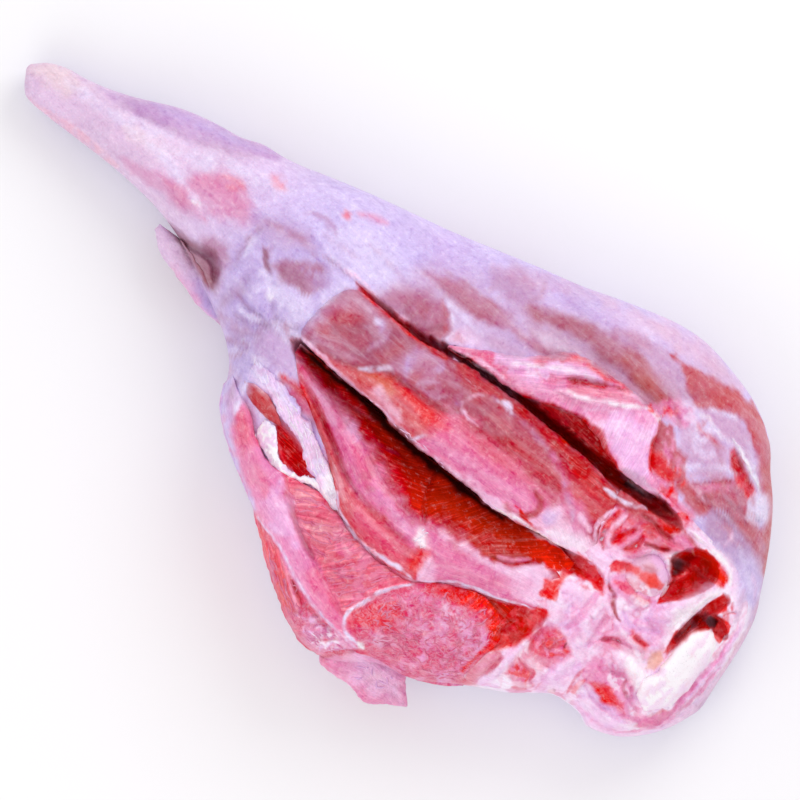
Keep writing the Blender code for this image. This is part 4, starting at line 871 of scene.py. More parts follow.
# Painted only on the piece of that name.
sheetAreas = {
    "tendonStrip": [
        ("pinkWhite", 3, 3, 0.8, 0, [(-44, -33), (0, -40), (30, -53), (26, -60), (-10, -48), (-44, -40)]),
        ("fasciaWhite", 2.5, 3, 0.8, 4, [(-40, -32), (0, -40), (30, -53), (26, -60), (-10, -48),
            (-40, -40)]),
        ("greyLilac", 2, 2.5, 0.8, 3, [(-30, -34), (-10, -38), (12, -47), (10, -52), (-14, -45),
            (-34, -40)]),
        ("pinkWhite", 2, 2, 0.7, 3, [(-24, -40), (0, -46), (20, -53), (14, -57), (-10, -49)]),
        ("white", 1.6, 2, 0.9, 0, [(12, -47), (20, -49), (27, -54), (26, -59), (18, -57), (15, -52)]),
        ("flapPink", 1.6, 1.5, 0.6, 0, [(-16, -45.5), (-8, -47), (4, -51.5), (10, -54.5), (10, -57),
            (-4, -51), (-16, -48)]),
    ],
    "tornFlap": [
        ("lilac", 2, 2, 0.7, 2.5, [(-24, -50), (-10, -52), (0, -58), (18, -54), (18, -60), (-6, -65),
            (-24, -60)]),
        ("greyLilac", 1.5, 2, 0.5, 2, [(-20, -58), (-12, -58), (-4, -61), (-8, -64), (-18, -62)]),
    ],
    "foldedFlap": [
        ("leafPink", 3, 2, 0.9, 0, [(12, 27), (18, 33), (26, 39), (34, 44), (40, 40), (50, 38), (58, 37),
            (40, 31)]),
        ("coral", 1.6, 1.8, 0.6, 0, [(14, 28), (26, 32), (42, 34), (56, 37), (56, 35), (36, 31),
            (20, 28)]),
        ("lilac", 3, 2.5, 0.95, 0, [(30, 41), (38, 48), (46, 53), (54, 59), (64, 64), (74, 67), (82, 68),
            (72, 61), (62, 54), (54, 46), (44, 39), (34, 37)]),
        ("pinkWhite", 2, 2.5, 0.9, 3, [(34, 39), (44, 48), (58, 58), (70, 65), (78, 67), (64, 56),
            (50, 44)]),
        ("leafPink", 2.5, 2.5, 0.7, 3.5, [(32, 38), (46, 44), (62, 56), (74, 64), (60, 50), (44, 38)]),
        ("coral", 2.6, 2, 1, 0, [(44, 48), (46, 54), (52, 61), (60, 67), (72, 70), (90, 72), (88, 69),
            (74, 66), (62, 63), (54, 58), (49, 51)]),
        ("ember", 1.6, 2, 0.7, 0, [(46, 51), (50, 58), (56, 64), (64, 67), (58, 62), (52, 56)]),
        ("leafPink", 2.2, 2, 0.9, 0, [(62, 53), (70, 60), (80, 66), (90, 70), (95, 69), (86, 61),
            (76, 54), (68, 50)]),
        ("stripRed", 1.2, 1.4, 0.85, 0, [(61, 53.5), (67, 59), (76, 64.5), (84, 68.5), (84, 67), (74, 61),
            (66, 55)]),
        ("flapPink", 3, 2.5, 1, 0, [(58, 38), (62, 46), (74, 52), (84, 58), (94, 66), (100, 60), (96, 48),
            (84, 45), (70, 42)]),
        ("lilac", 3.5, 2.5, 0.95, 0, [(88, 50), (86, 58), (94, 66), (98, 70), (105, 68), (108, 60),
            (114, 52), (120, 48), (112, 43), (98, 45)]),
        ("pinkWhite", 2.5, 3, 0.6, 3, [(70, 47), (92, 62), (104, 66), (110, 52), (92, 47)]),
        ("pink", 2.5, 2, 0.7, 0, [(58, 37), (66, 43), (80, 47), (94, 46), (106, 43), (100, 40), (84, 43),
            (70, 40)]),
        # the lower edge: its own red, deepened as painted shade where the flap overhangs
        ("stripRed", 1.5, 1.5, 0.8, 0, [(60, 37), (68, 42), (82, 45.4), (96, 43.6), (104, 41), (90, 41),
            (72, 40)]),
        ("greyLilac", 2, 1.8, 0.9, 0, [(106, 41), (110, 44.5), (118, 46), (128, 47), (128, 43),
            (116, 41)]),
        ("white", 1.3, 1.2, 0.9, 0, [(96, 69.4), (98, 72), (106, 71), (107, 68), (101, 69)]),
        ("cutPink", 1.6, 1.6, 0.7, 0, [(92, 64), (97, 68.6), (104, 67.6), (103, 63), (97, 61)]),
    ],
    "eyeAndLeaf": [
        ("brownRose", 3, 3, 0.6, 0, [(-38, -6), (-37, 8), (-31, 16), (-20, 12), (-22, 0), (-30, -6)]),
        ("plum", 2.5, 2.5, 0.5, 0, [(-31, 0), (-24, 8), (-18, 14), (-15, 10), (-22, 3), (-28, -2)]),
        ("plum", 3, 2.5, 0.5, 0, [(-14, -3), (-12, 8), (-10, 20), (4, 21), (4, 10), (0, 4), (-6, -1)]),
        ("brownRose", 2.5, 2, 0.5, 0, [(-6, 4), (-4, 16), (0, 19), (2, 12), (-1, 5)]),
        ("greyLilac", 3, 2.5, 0.65, 0, [(-38, 8), (-34, 18), (-26, 21), (-12, 20), (-14, 13), (-24, 15),
            (-32, 12)]),
        ("greyLilac", 2.5, 2, 0.6, 0, [(-36, -10), (-34, -5.5), (-24, -5), (-14, -3), (-10, -6),
            (-20, -9)]),
        ("membrane", 2.5, 2.5, 0.65, 0, [(3, 5), (4, 14), (5, 22), (12, 23), (18, 22), (20, 14),
            (16, 5)]),
        ("membrane", 2.5, 2.5, 0.5, 4, [(16, 6), (18, 22), (30, 22), (35, 15), (30, 8)]),
        ("brownRose", 2, 2, 0.7, 0, [(11, 8), (13, 13), (17, 9), (15, 6)]),
        ("belly", 3, 2.5, 0.6, 0, [(20, 22), (28, 22), (36, 13), (33, 9), (25, 12)]),
        ("stripRed", 3, 2.5, 0.75, 0, [(16, 25), (30, 30), (48, 32), (60, 33), (60, 28), (50, 25),
            (43, 24), (38, 18), (34, 21), (27, 24)]),
        ("stripRed", 1.6, 1.5, 0.8, 0, [(-36, 20), (-20, 22), (0, 22.5), (18, 26), (18, 24), (0, 20.6),
            (-20, 20)]),
        ("stripRed", 3, 2.5, 0.7, 0, [(56, 33), (80, 34), (120, 35), (120, 28), (100, 25), (80, 28),
            (60, 29)]),
        ("duskyRose", 3, 3, 0.6, 4, [(40, 14), (44, 23), (60, 26), (84, 26), (96, 20), (80, 14)]),
        ("stripRed", 2, 2, 0.6, 0, [(56, 14), (58, 18), (72, 19), (84, 17), (88, 13), (72, 13)]),
        ("belly", 3, 2.5, 0.4, 0, [(8, 8), (10, 20), (24, 22), (34, 16), (28, 9)]),
        ("leafRose", 4, 3, 0.8, 0, [(92, 24), (104, 28), (118, 28), (118, 18), (108, 14), (98, 16)]),
        ("pink", 3, 3, 0.8, 0, [(96, 17), (104, 18), (114, 14), (118, 8), (106, 7), (97, 10)]),
        ("leafRose", 2.5, 1.5, 1, 0, [(-35, -12), (-22, -9), (-10, -4.5), (-2, 1.5), (8, 4), (20, 5),
            (34, 8), (42, 10), (40, -13), (0, -15), (-35, -15)]),
        ("leafMid", 4, 2, 1, 0, [(34, 9), (48, 12), (60, 13), (80, 13), (95, 11), (100, 4), (100, -6),
            (60, -13), (34, -15)]),
        ("leafRose", 5, 3, 0.6, 0, [(40, 10), (60, 12), (80, 11), (84, 7), (60, 6), (40, 5)]),
        ("ochreRose", 2.5, 2, 0.7, 0, [(-12, -7), (-4, -2), (6, 2), (12, 0), (12, -5), (0, -6)]),
        ("coral", 2.5, 1.8, 0.65, 0, [(6, 1), (12, 4), (20, 4.5), (32, 5), (38, 3), (32, -2), (20, -2),
            (14, 0)]),
        ("pinkWhite", 2.5, 2, 0.65, 0, [(2, -9), (4, -5), (10, -5), (18, -6.5), (22, -10), (12, -11)]),
        ("flapPink", 4, 2.5, 0.85, 0, [(32, -10), (38, -4), (54, -1), (70, 3), (82, 7), (90, 5), (90, -4),
            (60, -9)]),
        ("pinkWhite", 1.8, 2, 0.8, 0, [(48, -12), (60, -6.5), (74, -5.5), (86, -5), (92, -2), (94, 8),
            (97, 11), (104, 10), (114, 8), (126, 9), (136, 9), (134, 2), (112, -4), (90, -9)]),
        ("lavender", 2, 1.5, 0.6, 0, [(94, 1), (95, 6), (99, 7), (101, 3), (98, 0)]),
        ("fat", 2, 2, 0.7, 0, [(100, -5), (104, 2), (112, 6), (124, 7), (134, 7), (132, 1), (112, -2)]),
        ("brownRose", 1.3, 1.2, 0.8, 0, [(84, 10), (90, 9), (94, 5), (94, 0), (90, -4), (88, -3), (91, 1),
            (90, 5), (86, 7.5)]),
    ],
    "lowerBed": [
        ("ember", 2, 2, 0.5, 0, [(-33, -17), (-20, -17), (-8, -21), (20, -24), (10, -19), (-20, -15)]),
        ("deepRose", 5, 3, 0.9, 0, [(50, -14), (56, -30), (60, -36), (70, -33), (86, -30), (100, -24),
            (112, -14), (100, -8), (70, -9)]),
        ("brownRose", 3, 2.5, 0.6, 0, [(60, -32), (72, -31), (90, -26), (104, -18), (100, -14), (80, -22),
            (62, -26)]),
        ("deep", 4, 3, 0.8, 0, [(50, -12), (52, -18), (70, -16), (90, -12), (100, -8), (100, -3),
            (70, -8)]),
        ("ember", 3, 2, 0.7, 0, [(98, -3), (100, -12), (106, -14), (110, -6), (122, 0), (110, 2)]),
        ("coral", 2, 2.5, 0.5, 3, [(10, -22), (22, -22), (34, -20), (36, -26), (20, -27), (12, -26)]),
        ("membrane", 5, 3, 0.35, 0, [(-24, -20), (0, -21), (20, -25), (40, -31), (56, -35), (56, -39),
            (20, -32), (-10, -27)]),
        ("pink", 4, 2, 0.95, 0, [(-26, -22.5), (-8, -24), (8, -26), (18, -28.5), (30, -32.5), (46, -37),
            (57, -38), (60, -34), (70, -31.5), (84, -29), (94, -26), (103, -21), (108, -15), (121, -18),
            (122, -30), (100, -41), (88, -47), (74, -57), (60, -60), (30, -56), (0, -36), (-26, -28)]),
        ("flapPink", 3, 3, 0.4, 4, [(-26, -21), (-8, -22.5), (8, -24.5), (18, -27), (30, -31), (46, -36),
            (57, -37), (60, -34), (70, -31.5), (84, -29), (94, -26), (103, -21), (108, -15), (121, -18),
            (122, -30), (100, -41), (88, -47), (74, -57), (60, -60), (30, -56), (0, -36), (-26, -28)]),
        ("lilac", 2.5, 2, 0.7, 0, [(2, -24), (6, -29), (14, -31), (14, -27), (8, -23)]),
        ("greyLilac", 2, 1.5, 0.6, 0, [(-22, -23), (-10, -24), (-2, -27), (4, -30), (-6, -29),
            (-20, -26)]),
        ("leafPink", 2.5, 2, 0.6, 0, [(4, -27), (14, -33), (30, -41), (28, -36), (16, -30)]),
        ("duskyRose", 3, 2.5, 0.5, 4, [(16, -30), (30, -34), (44, -38), (40, -43), (26, -42)]),
        ("lilac", 3, 2.5, 0.35, 0, [(34, -37), (48, -39), (60, -40), (60, -44), (44, -43), (34, -41)]),
        ("pinkWhite", 1.6, 2, 0.7, 0, [(60, -34), (70, -31), (84, -29), (95, -26), (103, -21), (108, -16),
            (112, -22), (100, -28), (86, -31), (70, -34)]),
        ("pinkWhite", 2, 2, 0.9, 0, [(100, -27), (107, -18), (112, -12), (120, -14), (122, -28),
            (112, -32)]),
        ("flapPink", 3, 2.5, 0.75, 0, [(73, -42), (84, -33), (98, -29), (112, -23), (114, -30),
            (100, -38), (86, -44)]),
        ("leafPink", 3, 2.5, 0.35, 0, [(78, -37), (90, -36), (104, -29), (104, -33), (88, -41),
            (78, -42)]),
        ("leafRose", 2.2, 1.8, 0.95, 0, [(-26, -25.5), (-16, -28.5), (-6, -32), (5, -37), (14, -41.5),
            (22, -44.5), (34, -46.5), (50, -47), (63, -46.5), (68, -44), (73, -48), (75, -57), (56, -62),
            (42, -62), (26, -58), (14, -49), (3, -42), (-10, -35)]),
        ("strap", 3, 2.5, 0.7, 0, [(30, -48), (50, -49), (62, -50), (66, -56), (52, -59), (36, -57)]),
        ("rust", 2.5, 2, 0.9, 0, [(-24, -26), (-10, -31), (6, -39), (16, -45), (12, -47), (0, -41),
            (-14, -33)]),
        ("coral", 2, 2, 0.75, 0, [(65, -44), (72, -44), (74, -50), (73, -56), (67, -54)]),
        ("pinkWhite", 1.8, 2, 0.8, 0, [(72, -45), (77, -46), (80, -52), (76, -57), (73, -52)]),
        ("white", 1.5, 2, 0.9, 0, [(60.5, -38), (64, -39), (67, -42), (65, -44), (61, -43)]),
    ],
    "sawnHip": [
        # lilac along the bone's right side and lower end is painted shade
        ("lilac", 2.5, 2, 0.6, 0, [(192, 10), (198, 6), (198, -22), (194, -26), (194, -6)]),
        ("lilac", 2.5, 2.5, 0.5, 3, [(180, -10), (190, -8), (196, -26), (186, -30)]),
        ("pinkWhite", 1.5, 2, 0.7, 3, [(184, 16), (190, 16), (192, 4), (186, 2)]),
    ],
    "cutEnd": [
        ("white", 3, 2.5, 0.9, 0, [(164, -14), (170, -19), (180, -24), (182, -14), (176, -16),
            (172, -12)]),
        ("white", 2, 2, 0.9, 0, [(165, 8), (170, 18), (172, 30), (177, 34), (176, 20), (174, 4),
            (170, 2)]),
        ("leafPink", 2, 2, 0.95, 0, [(119, 11), (118.5, 27), (124, 32), (131, 36), (144, 37), (152, 40),
            (158, 38), (153, 33), (149, 28), (142, 24), (137, 15), (128, 13)]),
        ("coral", 1.8, 2, 0.7, 3, [(120, 12), (120, 27), (130, 33), (146, 33), (146, 27), (138, 20),
            (128, 13)]),
        ("brownRose", 2, 2, 0.7, 0, [(122, 30), (126, 35), (136, 35), (145, 34), (148, 30), (140, 30),
            (130, 29)]),
        ("pinkWhite", 2, 2, 0.9, 0, [(122, 5), (122, 10), (130, 15), (140, 15), (137, 8), (132, 4)]),
        ("flapPink", 2.5, 2, 0.8, 0, [(137, 3), (139, 11), (150, 12), (158, 10), (160, 5), (150, 1),
            (143, 0)]),
        ("ember", 1.2, 1.5, 0.9, 0, [(132, 6), (134, 10.5), (139, 14), (142, 12), (138, 7), (135, 4.6)]),
        ("strip", 2, 1.5, 1, 0, [(108, 24), (108, 37), (128, 38), (131, 34), (124, 30), (118, 27.5)]),
        ("coral", 1.4, 1.6, 0.6, 0, [(139, 4), (144, 7), (152, 7), (158, 8), (156, 4), (146, 3)]),
        # soft lilac over the fat's lower part is painted shade
        ("lilac", 3, 3, 0.7, 0, [(158, -8), (158, 8), (166, 12), (172, 6), (174, -4), (168, -9)]),
        ("flapPink", 3, 3, 0.6, 3, [(156, -8), (160, 8), (172, 8), (174, -6)]),
        ("pink", 2.5, 2.5, 0.7, 0, [(149, -24), (152, -16), (160, -12), (168, -11), (168, -14),
            (160, -18), (154, -24)]),
        ("outerRose", 1.5, 2, 0.7, 0, [(153, -17), (158, -14), (160, -17), (155, -20)]),
        ("coral", 1.4, 1.6, 0.8, 0, [(161, -7.5), (165, -6.5), (169, -6.5), (171, -9), (165, -10)]),
        ("lilac", 3, 2.5, 0.7, 0, [(126, -14), (132, -12), (148, -16), (152, -26), (146, -30),
            (130, -28)]),
        ("flapPink", 3, 2.5, 0.55, 4, [(126, -6), (142, -6), (152, -20), (150, -30), (130, -28)]),
        ("leafPink", 2, 2.5, 0.8, 0, [(129, -30), (131, -46), (140, -50), (148, -44), (149, -33),
            (142, -29)]),
        ("leafPink", 2, 2, 0.7, 0, [(129, -50), (131, -61), (142, -61), (146, -55), (142, -50)]),
        ("mauveGrey", 2.5, 2.5, 0.5, 3, [(164, -24), (176, -22), (190, -33), (196, -38), (180, -38),
            (166, -32)]),
        # lilac on the bottom fat is painted shade
        ("lilac", 3, 2.5, 0.7, 0, [(163, -42), (176, -41), (190, -41), (184, -48), (168, -50)]),
        ("lilac", 3, 2.5, 0.7, 0, [(144, -36), (154, -34), (154, -48), (146, -52)]),
        ("outerRose", 2, 2, 0.8, 0, [(196, -24), (199, -22), (202, -26), (198, -36), (192, -38),
            (194, -31)]),
        ("lilac", 2, 2, 0.6, 0, [(197, 26), (203, 10), (205, -10), (203, -22), (199, -20), (198, 0)]),
        ("flapPink", 1.5, 2, 0.7, 3, [(197, 24), (203, 4), (205, -20), (200, -34), (198, -10)]),
    ],
    "tailFlap": [
        ("lilac", 3, 3, 0.9, 0, [(80, -100), (88, -96), (98, -96), (104, -101), (98, -108), (86, -109)]),
        ("pinkWhite", 2, 3, 0.9, 2.2, [(82, -100), (90, -96), (102, -98), (100, -106), (86, -108)]),
        ("cutRed", 2, 2, 0.9, 0, [(66, -104), (74, -99), (76, -102), (71, -108), (70, -115), (66, -112)]),
        ("leafPink", 2.5, 2.5, 0.45, 3, [(70, -114), (84, -114), (100, -113), (108, -105), (98, -108),
            (80, -110)]),
        ("pinkWhite", 4, 3, 0.55, 0, [(76, -99), (90, -95), (104, -96), (109, -103), (99, -111),
            (80, -112)]),
    ],
    "outerSheet": [
        ("cutPink", 4, 3, 0.6, 5, [(8, -64), (30, -58), (66, -60), (62, -84), (40, -82)]),
        ("outerRose", 4, 3, 0.9, 0, [(4, -61), (20, -58), (44, -61), (70, -60), (62, -70), (58, -86),
            (40, -82), (20, -74)]),
        ("cutPink", 3, 3, 0.5, 4, [(30, -61), (60, -61), (62, -82), (44, -80), (36, -70)]),
        ("flesh", 2, 2, 0.9, 0, [(10, -90), (30, -93), (50, -98), (72, -98), (72, -112), (50, -113),
            (20, -99)]),
        ("cutPink", 4, 3, 0.8, 0, [(44, -100), (60, -99), (72, -100), (72, -110), (56, -112)]),
        ("coral", 1.2, 2, 0.8, 0, [(8, -89), (18, -91), (30, -97), (42, -104), (40, -107), (28, -101),
            (14, -94)]),
        ("lilac", 1, 3, 0.9, 2.2, [(48, -98), (74, -98), (71, -109), (54, -111)]),
        ("fat", 1, 3, 0.9, 1.6, [(52, -98), (72, -98), (69, -107), (58, -108)]),
        ("outerPink", 1.6, 1.4, 1, 0, [(-51, -44), (-40, -50), (-30, -53), (-20, -60), (-10, -63),
            (0, -63), (8, -67.5), (16, -71.5), (26, -76.5), (40, -81), (55, -87), (66, -92), (76, -95),
            (74, -99), (60, -98), (45, -96.5), (32, -93), (20, -89), (8, -86), (-5, -84), (-30, -73),
            (-45, -64), (-53, -54)]),
        ("outerRose", 3, 2.5, 0.85, 0, [(-37, -53), (-28, -55), (-20, -62), (-20, -68), (-28, -66),
            (-35, -60)]),
        ("outerRose", 4, 3, 0.5, 0, [(-24, -62), (-6, -68), (10, -72), (20, -78), (4, -78), (-14, -73)]),
        ("lilac", 3, 2.5, 0.8, 0, [(0, -66), (10, -71), (20, -76), (26, -82), (14, -84), (0, -78)]),
        ("flesh", 4, 2.5, 0.7, 0, [(34, -81), (50, -87), (66, -93), (70, -97), (50, -94), (36, -89)]),
        ("flesh", 1.6, 2, 1, 0, [(75, -58), (80, -52), (88, -47), (97, -42.5), (108, -40), (118, -44),
            (120, -60), (121, -76), (128, -78), (114, -88), (100, -94), (84, -96), (76, -95), (66, -89),
            (64, -78), (69, -66)]),
        ("cutPink", 4, 4, 0.9, 4, [(78, -56), (118, -48), (124, -80), (100, -94), (80, -94), (70, -80)]),
        ("lilac", 2.5, 4, 0.45, 3, [(88, -54), (118, -52), (120, -82), (92, -88)]),
        ("leafPink", 2.5, 3, 0.5, 3.5, [(78, -60), (104, -56), (116, -66), (108, -86), (84, -90)]),
        ("coral", 3.5, 2.5, 0.75, 0, [(63.5, -84), (66, -76), (72, -70), (80, -71), (82, -78), (74, -86),
            (68, -92)]),
        ("coral", 2.5, 2.5, 0.9, 0, [(79, -54), (86, -47), (95, -42.5), (106, -38), (118, -44),
            (117, -52), (106, -49), (94, -52), (84, -55)]),
        ("ember", 1.8, 2.5, 0.7, 3, [(81, -52), (90, -46), (102, -41), (114, -42), (112, -49), (98, -50),
            (86, -53)]),
        ("pinkWhite", 2, 2.5, 0.8, 2.5, [(90, -55), (100, -54), (104, -58), (94, -60)]),
        ("leafRose", 3, 2.5, 0.6, 0, [(26, -94), (40, -98), (50, -103), (42, -107), (30, -102)]),
        ("pinkWhite", 2, 2, 0.7, 0, [(80, -84), (86, -82), (84, -88), (76, -92)]),
    ],
}
# Grain by place: fibre angle in plan, size of the pattern, fibre, film and cut-grain strengths, outline.
textures = [
    (-24, 1, 0.6, 0.5, 0, [(-46, -30), (0, -38), (30, -50), (30, -62), (-10, -50), (-46, -42)]),
    (105, 0.9, 0.45, 0.35, 0, [(58, 37), (66, 48), (84, 58), (98, 71), (106, 69), (112, 56), (128, 46),
        (106, 40), (84, 44)]),
    (38, 0.8, 0.5, 0.5, 0.25, [(12, 27), (34, 44), (46, 54), (58, 67), (98, 73), (84, 58), (66, 48),
        (56, 37)]),
    (22, 0.8, 0.6, 0, 0, [(-34, -13), (48, -12), (50, -22), (58, -36), (44, -36), (20, -29), (0, -24),
        (-34, -19)]),
    (62, 0.8, 0.55, 0, 0, [(48, -10), (84, -8), (86, -30), (60, -36), (50, -24)]),
    (42, 0.8, 0.4, 0, 0, [(84, -8), (110, -2), (122, -2), (112, -14), (100, -24), (86, -30)]),
    (33, 0.45, 0.9, 0.1, 0.1, [(0, -62), (14, -58), (36, -59), (36, -81), (20, -74)]),
    (56, 0.45, 0.9, 0.1, 0.1, [(36, -59), (74, -58), (69, -66), (64, -80), (62, -90), (36, -81)]),
    (-32, 0.45, 0.8, 0.1, 0.1, [(2, -85), (20, -89), (46, -96.5), (44, -112), (20, -104)]),
    (60, 0.5, 0.4, 0.1, 0.5, [(46, -96.5), (75, -98), (74, -112), (44, -114)]),
    (80, 0.4, 0.7, 0, 0.2, [(79, -54), (86, -46), (100, -40), (118, -42), (117, -50), (98, -50),
        (86, -54)]),
    (20, 0.9, 0.2, 0.12, 0.5, [(79, -54), (98, -50), (117, -50), (121, -76), (128, -79), (100, -95),
        (76, -95), (64, -86), (69, -66)]),
    (8, 1, 0.22, 0.5, 0, [(-39, -9), (-20, -8), (-5, -3), (4, 4), (20, 6), (36, 10), (36, 25), (0, 23),
        (-38, 20)]),
    (4, 1, 0.45, 0.2, 0, [(36, 11), (36, 26), (60, 34), (122, 36), (122, 14), (96, 16), (80, 13)]),
]


brush = {                         # noises: blob size in millimetres, seed, octaves
    "shift": (1.1, 0.55),         # how far paint strays, in broad and in fine waves
    "shiftSizes": (9, 2.8),
    "ragged": (5, 11, 3),         # makes edges wander
    "lost": (12, 67, 2),          # softens edges here and there
    "broken": (3.4, 311, 3),      # breaks up thin lines
    "patchSeed": 61,
    "areaReach": 8,               # how far an area's edge can stray
    "strokeReach": 3,
    "foldStrength": 0.85,
}


def warped(x, y):
    # places shifted a little, so nothing painted runs even or straight
    (broad, fine), (broadSize, fineSize) = brush["shift"], brush["shiftSizes"]
    dx, dy = [broad * noiseAt(x, y, broadSize, seed, 2) + fine * noiseAt(x, y, fineSize, seed + 2, 2)
              for seed in (301, 305)]
    return x + dx, y + dy


def foldShare(x, y, halfWidth, points):
    # where a fold is, and how far up it each of those places is, 0 at its foot to 1 on its crest
    near = nearBy(x, y, np.array(points, float), halfWidth * 1.5 + 2)
    if not near.any():
        return near, 0.0
    away, along = lineDistance(x[near], y[near], curveThrough(points))
    width = halfWidth * (1 + 0.3 * noiseAt(x[near], y[near], 4, 131, 2))
    width = width * (1 - 0.55 * np.abs(2 * along - 1) ** 4)
    fade = 1 - np.abs(2 * along - 1) ** 9
    return near, (1 - np.clip(away / width, 0, 1) ** 2) ** 1.5 * fade


def foldsAt(x, y):
    # height of all the folds and creases together
    total = np.zeros(x.shape)
    for height, halfWidth, name, strength, points in folds:
        near, share = foldShare(x, y, halfWidth, points)
        total[near] += height * share
    return total


def paintAreas(x, y, colour, table, wobble):
    # soft patches whose edges are lost in one place and found in the next
    found = smoothStep(-0.5, 0.5, noiseAt(x, y, *brush["lost"]))
    for name, soft, rough, strength, patch, outline in table:
        near = nearBy(x, y, np.array(outline, float), brush["areaReach"])
        if near.any():
            depth = insideOutline(x[near], y[near], outline) + rough * wobble[near]
            reach = soft * (0.55 + 1.1 * found[near])
            mask = strength * smoothStep(-reach, reach, depth) * (0.9 + 0.1 * wobble[near])
            if patch:
                spots = noiseAt(x[near], y[near], patch, brush["patchSeed"], 3)
                mask = mask * smoothStep(-0.12, 0.22, spots)
            colour[near] = towards(colour[near], name, mask[:, None])
    return colour


def paintAt(x, y, base, own=()):
    # the palette laid over base colours, where things lie as seen from above
    wobble = noiseAt(x, y, *brush["ragged"])
    broken = noiseAt(x, y, *brush["broken"])
    x, y = warped(x, y)
    colour = paintAreas(x, y, base.copy(), [*own, *areas], wobble)
    for height, halfWidth, name, strength, points in folds:
        near, share = foldShare(x, y, halfWidth, points)
        if near.any() and strength > 0:
            mask = brush["foldStrength"] * strength * smoothStep(0.0, 1.0, share)
            mask = mask * (0.45 + 0.55 * smoothStep(-0.5, 0.3, broken[near]))
            colour[near] = towards(colour[near], name, mask[:, None])
    for name, halfWidth, soft, strength, points in strokes:
        near = nearBy(x, y, np.array(points, float), halfWidth + soft + brush["strokeReach"])
        if near.any():
            away, along = lineDistance(x[near], y[near], curveThrough(points))
            away = away + 0.35 * halfWidth * wobble[near]
            taper = halfWidth * (1 - 0.6 * np.abs(2 * along - 1) ** 3)
            mask = strength * (1 - smoothStep(taper - soft, taper + soft, away))
            if strength < 1:
                mask = mask * (0.3 + 0.7 * smoothStep(-0.55, 0.25, broken[near]))
            colour[near] = towards(colour[near], name, mask[:, None])
    return np.clip(colour, 0, 1)


def addMesh(name, verts, faces, material, smooth=True):
    mesh = bpy.data.meshes.new(name)
    mesh.from_pydata([tuple(v) for v in verts], [], [tuple(f) for f in faces])
    mesh.validate()
    mesh.materials.append(material)
    made = bpy.data.objects.new(name, mesh)
    scene.collection.objects.link(made)
    if smooth:
        mesh.shade_smooth()
    return made


def writeAttribute(obj, name, kind, values):
    layer = obj.data.attributes.new(name, kind, "POINT")
    values = np.asarray(values, np.float32)
    if kind == "FLOAT_COLOR":
        values = np.hstack([values, np.ones((len(values), 1), np.float32)])
    field = {"FLOAT_COLOR": "color", "FLOAT_VECTOR": "vector"}.get(kind, "value")
    layer.data.foreach_set(field, values.ravel())


def dress(obj, tint, flow, feel):
    # what the meat's material reads: colour, grain direction, and fibre, film and cut-grain strengths
    writeAttribute(obj, "tint", "FLOAT_COLOR", tint)
    writeAttribute(obj, "flow", "FLOAT_VECTOR", flow)
    writeAttribute(obj, "feel", "FLOAT_VECTOR", feel)


def tubeFaces(rings, around):
    faces = []
    for i in range(rings - 1):
        a, b = i * around, (i + 1) * around
        faces += [(a + j, a + (j + 1) % around, b + (j + 1) % around, b + j) for j in range(around)]
    return faces


def feed(node, inputs):
    # each input gets a value, or a link from another node's output
    for key, value in inputs.items():
        if isinstance(value, bpy.types.NodeSocket):
            node.id_data.links.new(value, node.inputs[key])
        else:
            node.inputs[key].default_value = value


def addNode(tree, kind, inputs=None, **settings):
    node = tree.nodes.new(kind)
    for key, value in settings.items():
        setattr(node, key, value)
    feed(node, inputs or {})
    return node


def noiseNode(tree, vector, scale, detail, roughness, distortion):
    inputs = {"Vector": vector, "Scale": scale, "Detail": detail, "Roughness": roughness}
    return addNode(tree, "ShaderNodeTexNoise", {**inputs, "Distortion": distortion}).outputs["Fac"]


def stretchedNoise(tree, vector, stretch, *noise):
    mapped = addNode(tree, "ShaderNodeMapping", {"Scale": stretch, "Vector": vector})
    return noiseNode(tree, mapped.outputs["Vector"], *noise)


def mathNode(tree, operation, a, b):
    return addNode(tree, "ShaderNodeMath", {0: a, 1: b}, operation=operation).outputs[0]


def scaled(tree, value, factor):
    return mathNode(tree, "MULTIPLY", value, factor)


def rampNode(tree, value, low, high):
    # 0 at low, 1 at high, held outside
    inputs = {"From Min": low, "From Max": high, "Value": value}
    return addNode(tree, "ShaderNodeMapRange", inputs, interpolation_type="SMOOTHSTEP").outputs["Result"]


def bandNode(tree, value, middle, halfWidth):
    # 1 where the value is near the middle, for thin winding lines
    away = mathNode(tree, "ABSOLUTE", mathNode(tree, "SUBTRACT", value, middle), 0.0)
    return rampNode(tree, away, halfWidth, halfWidth * 0.3)


def spreadNode(tree, value, low, high, **limits):
    # the value brought to between low and high
    inputs = {"To Min": low, "To Max": high, "Value": value}
    if limits:
        inputs.update({"From Min": limits["start"], "From Max": limits["end"]})
    return addNode(tree, "ShaderNodeMapRange", inputs).outputs["Result"]


def lifted(tree, base, factor, rise, saturation):
    # the colour made lighter or darker where the factor is high
    inputs = {"Saturation": saturation, "Value": 1 + rise, "Color": base, "Fac": factor}
    return addNode(tree, "ShaderNodeHueSaturation", inputs).outputs["Color"]


def tintMix(tree, factor, base, colour):
    return addNode(tree, "ShaderNodeMix", {0: factor, 6: base, 7: (*colour, 1)}, data_type="RGBA").outputs[2]


def bumpNode(tree, height, strength, distance):
    inputs = {"Strength": strength, "Distance": distance, "Height": height}
    return addNode(tree, "ShaderNodeBump", inputs).outputs["Normal"]


def stored(tree, name, output):
    return addNode(tree, "ShaderNodeAttribute", attribute_name=name).outputs[output]


def nodeKit(material):
    material.use_nodes = True
    tree = material.node_tree
    return tree, tree.nodes["Principled BSDF"]


